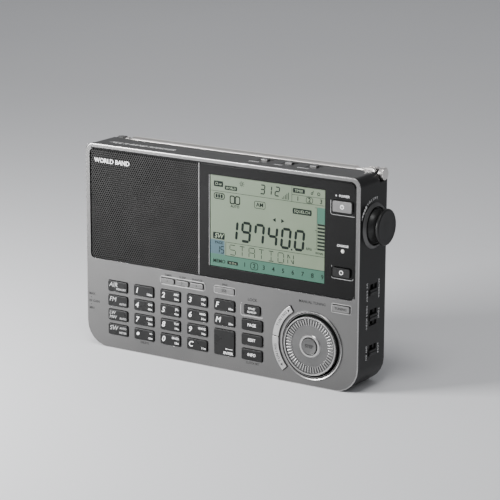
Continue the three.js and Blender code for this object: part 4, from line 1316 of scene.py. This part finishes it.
def dressHiddenNodes():
    board = mouldedMaterial("boardGreen", (0.02, 0.11, 0.05), (0.03, 0.15, 0.07), 0.45, cloud=200, coat=0.3)
    mat = mouldedMaterial("siliconeGrey", grey(0.05), grey(0.075), 0.7, cloud=90)
    iron = mouldedMaterial("ferriteGrey", grey(0.035), grey(0.055), 0.6, cloud=150)
    paper = mouldedMaterial("coneBlack", grey(0.015), grey(0.03), 0.8, cloud=150)
    dress = {"key_mat": mat, "key_board": board, "main_board": board, "speaker": paper, "ferrite_antenna": iron}
    for node, material in dress.items():
        nodes[node].data.materials.clear()
        nodes[node].data.materials.append(material)


# room, light and camera

room = {"floorSize": 30.0, "keyPower": 12.0, "fillPower": 5.0, "rimPower": 2.0, "topPower": 5.6, "skyStrength": 0.36}


def makeRoom():
    clearSelection()
    bpy.ops.mesh.primitive_plane_add(size=room["floorSize"], location=(0, 2, 0))
    floor = bpy.context.object
    floor.name = "floor"
    floor.data.materials.append(cloudyMaterial("floorPaper", (0.76, 0.765, 0.78), (0.80, 0.805, 0.82), 3, 0.8))
    world = bpy.data.worlds.new("softRoom")
    bpy.context.scene.world = world
    world.use_nodes = True
    sky = world.node_tree.nodes["Background"]
    sky.inputs["Color"].default_value = (0.80, 0.81, 0.84, 1)
    sky.inputs["Strength"].default_value = room["skyStrength"]


def addLamp(name, place, aim, size, power):
    lamp = bpy.data.lights.new(name, "AREA")
    lamp.energy = power
    lamp.size = size
    obj = linkObject(name, lamp)
    obj.location = place
    obj.rotation_euler = (Vector(aim) - Vector(place)).to_track_quat("-Z", "Y").to_euler()
    obj.visible_camera = False


def makeLights():
    addLamp("keyLight", (-0.46, -0.50, 0.26), (-0.10, 0, 0.05), 0.30, room["keyPower"])
    addLamp("fillLight", (1.2, -1.9, 1.0), (0, 0, 0.06), 1.4, room["fillPower"])
    addLamp("rimLight", (-0.9, 1.5, 1.1), (0, 0, 0.1), 1.0, room["rimPower"])
    addLamp("topLight", (0.15, -0.45, 1.15), (0.05, 0, 0.1), 0.4, room["topPower"])


view = {"azimuth": 33.17, "elevation": 14.24, "roll": 0.11, "distance": 1.4, "lens": 159.7,
        "shiftX": 0.0339, "shiftY": 0.0186, "target": (0, 0, 0.06725)}


def makeCamera():
    camera = bpy.data.cameras.new("camera")
    camera.lens = view["lens"]
    camera.sensor_width = 36
    camera.shift_x = view["shiftX"]
    camera.shift_y = view["shiftY"]
    obj = linkObject("camera", camera)
    azimuth, elevation = math.radians(view["azimuth"]), math.radians(view["elevation"])
    level = math.cos(elevation)
    away = Vector((math.sin(azimuth) * level, -math.cos(azimuth) * level, math.sin(elevation)))
    obj.location = Vector(view["target"]) + away * view["distance"]
    turn = (-away).to_track_quat("-Z", "Y")
    obj.rotation_euler = (turn.to_matrix() @ Matrix.Rotation(math.radians(view["roll"]), 3, "Z")).to_euler()
    bpy.context.scene.camera = obj


for step in (
    makeCamera, makeRoom, makeLights, makePanel, makeGrille, makeWindow, makeDisplay, makeKeys, makePanelWords,
    makeDial, makeCase, makeKnob, makeSwitches, makeTopKeys, makeGainWheel, makeDoor, makeStand, makeScrews,
    makeSockets, makeAerial, dressHiddenNodes,
):
    step()
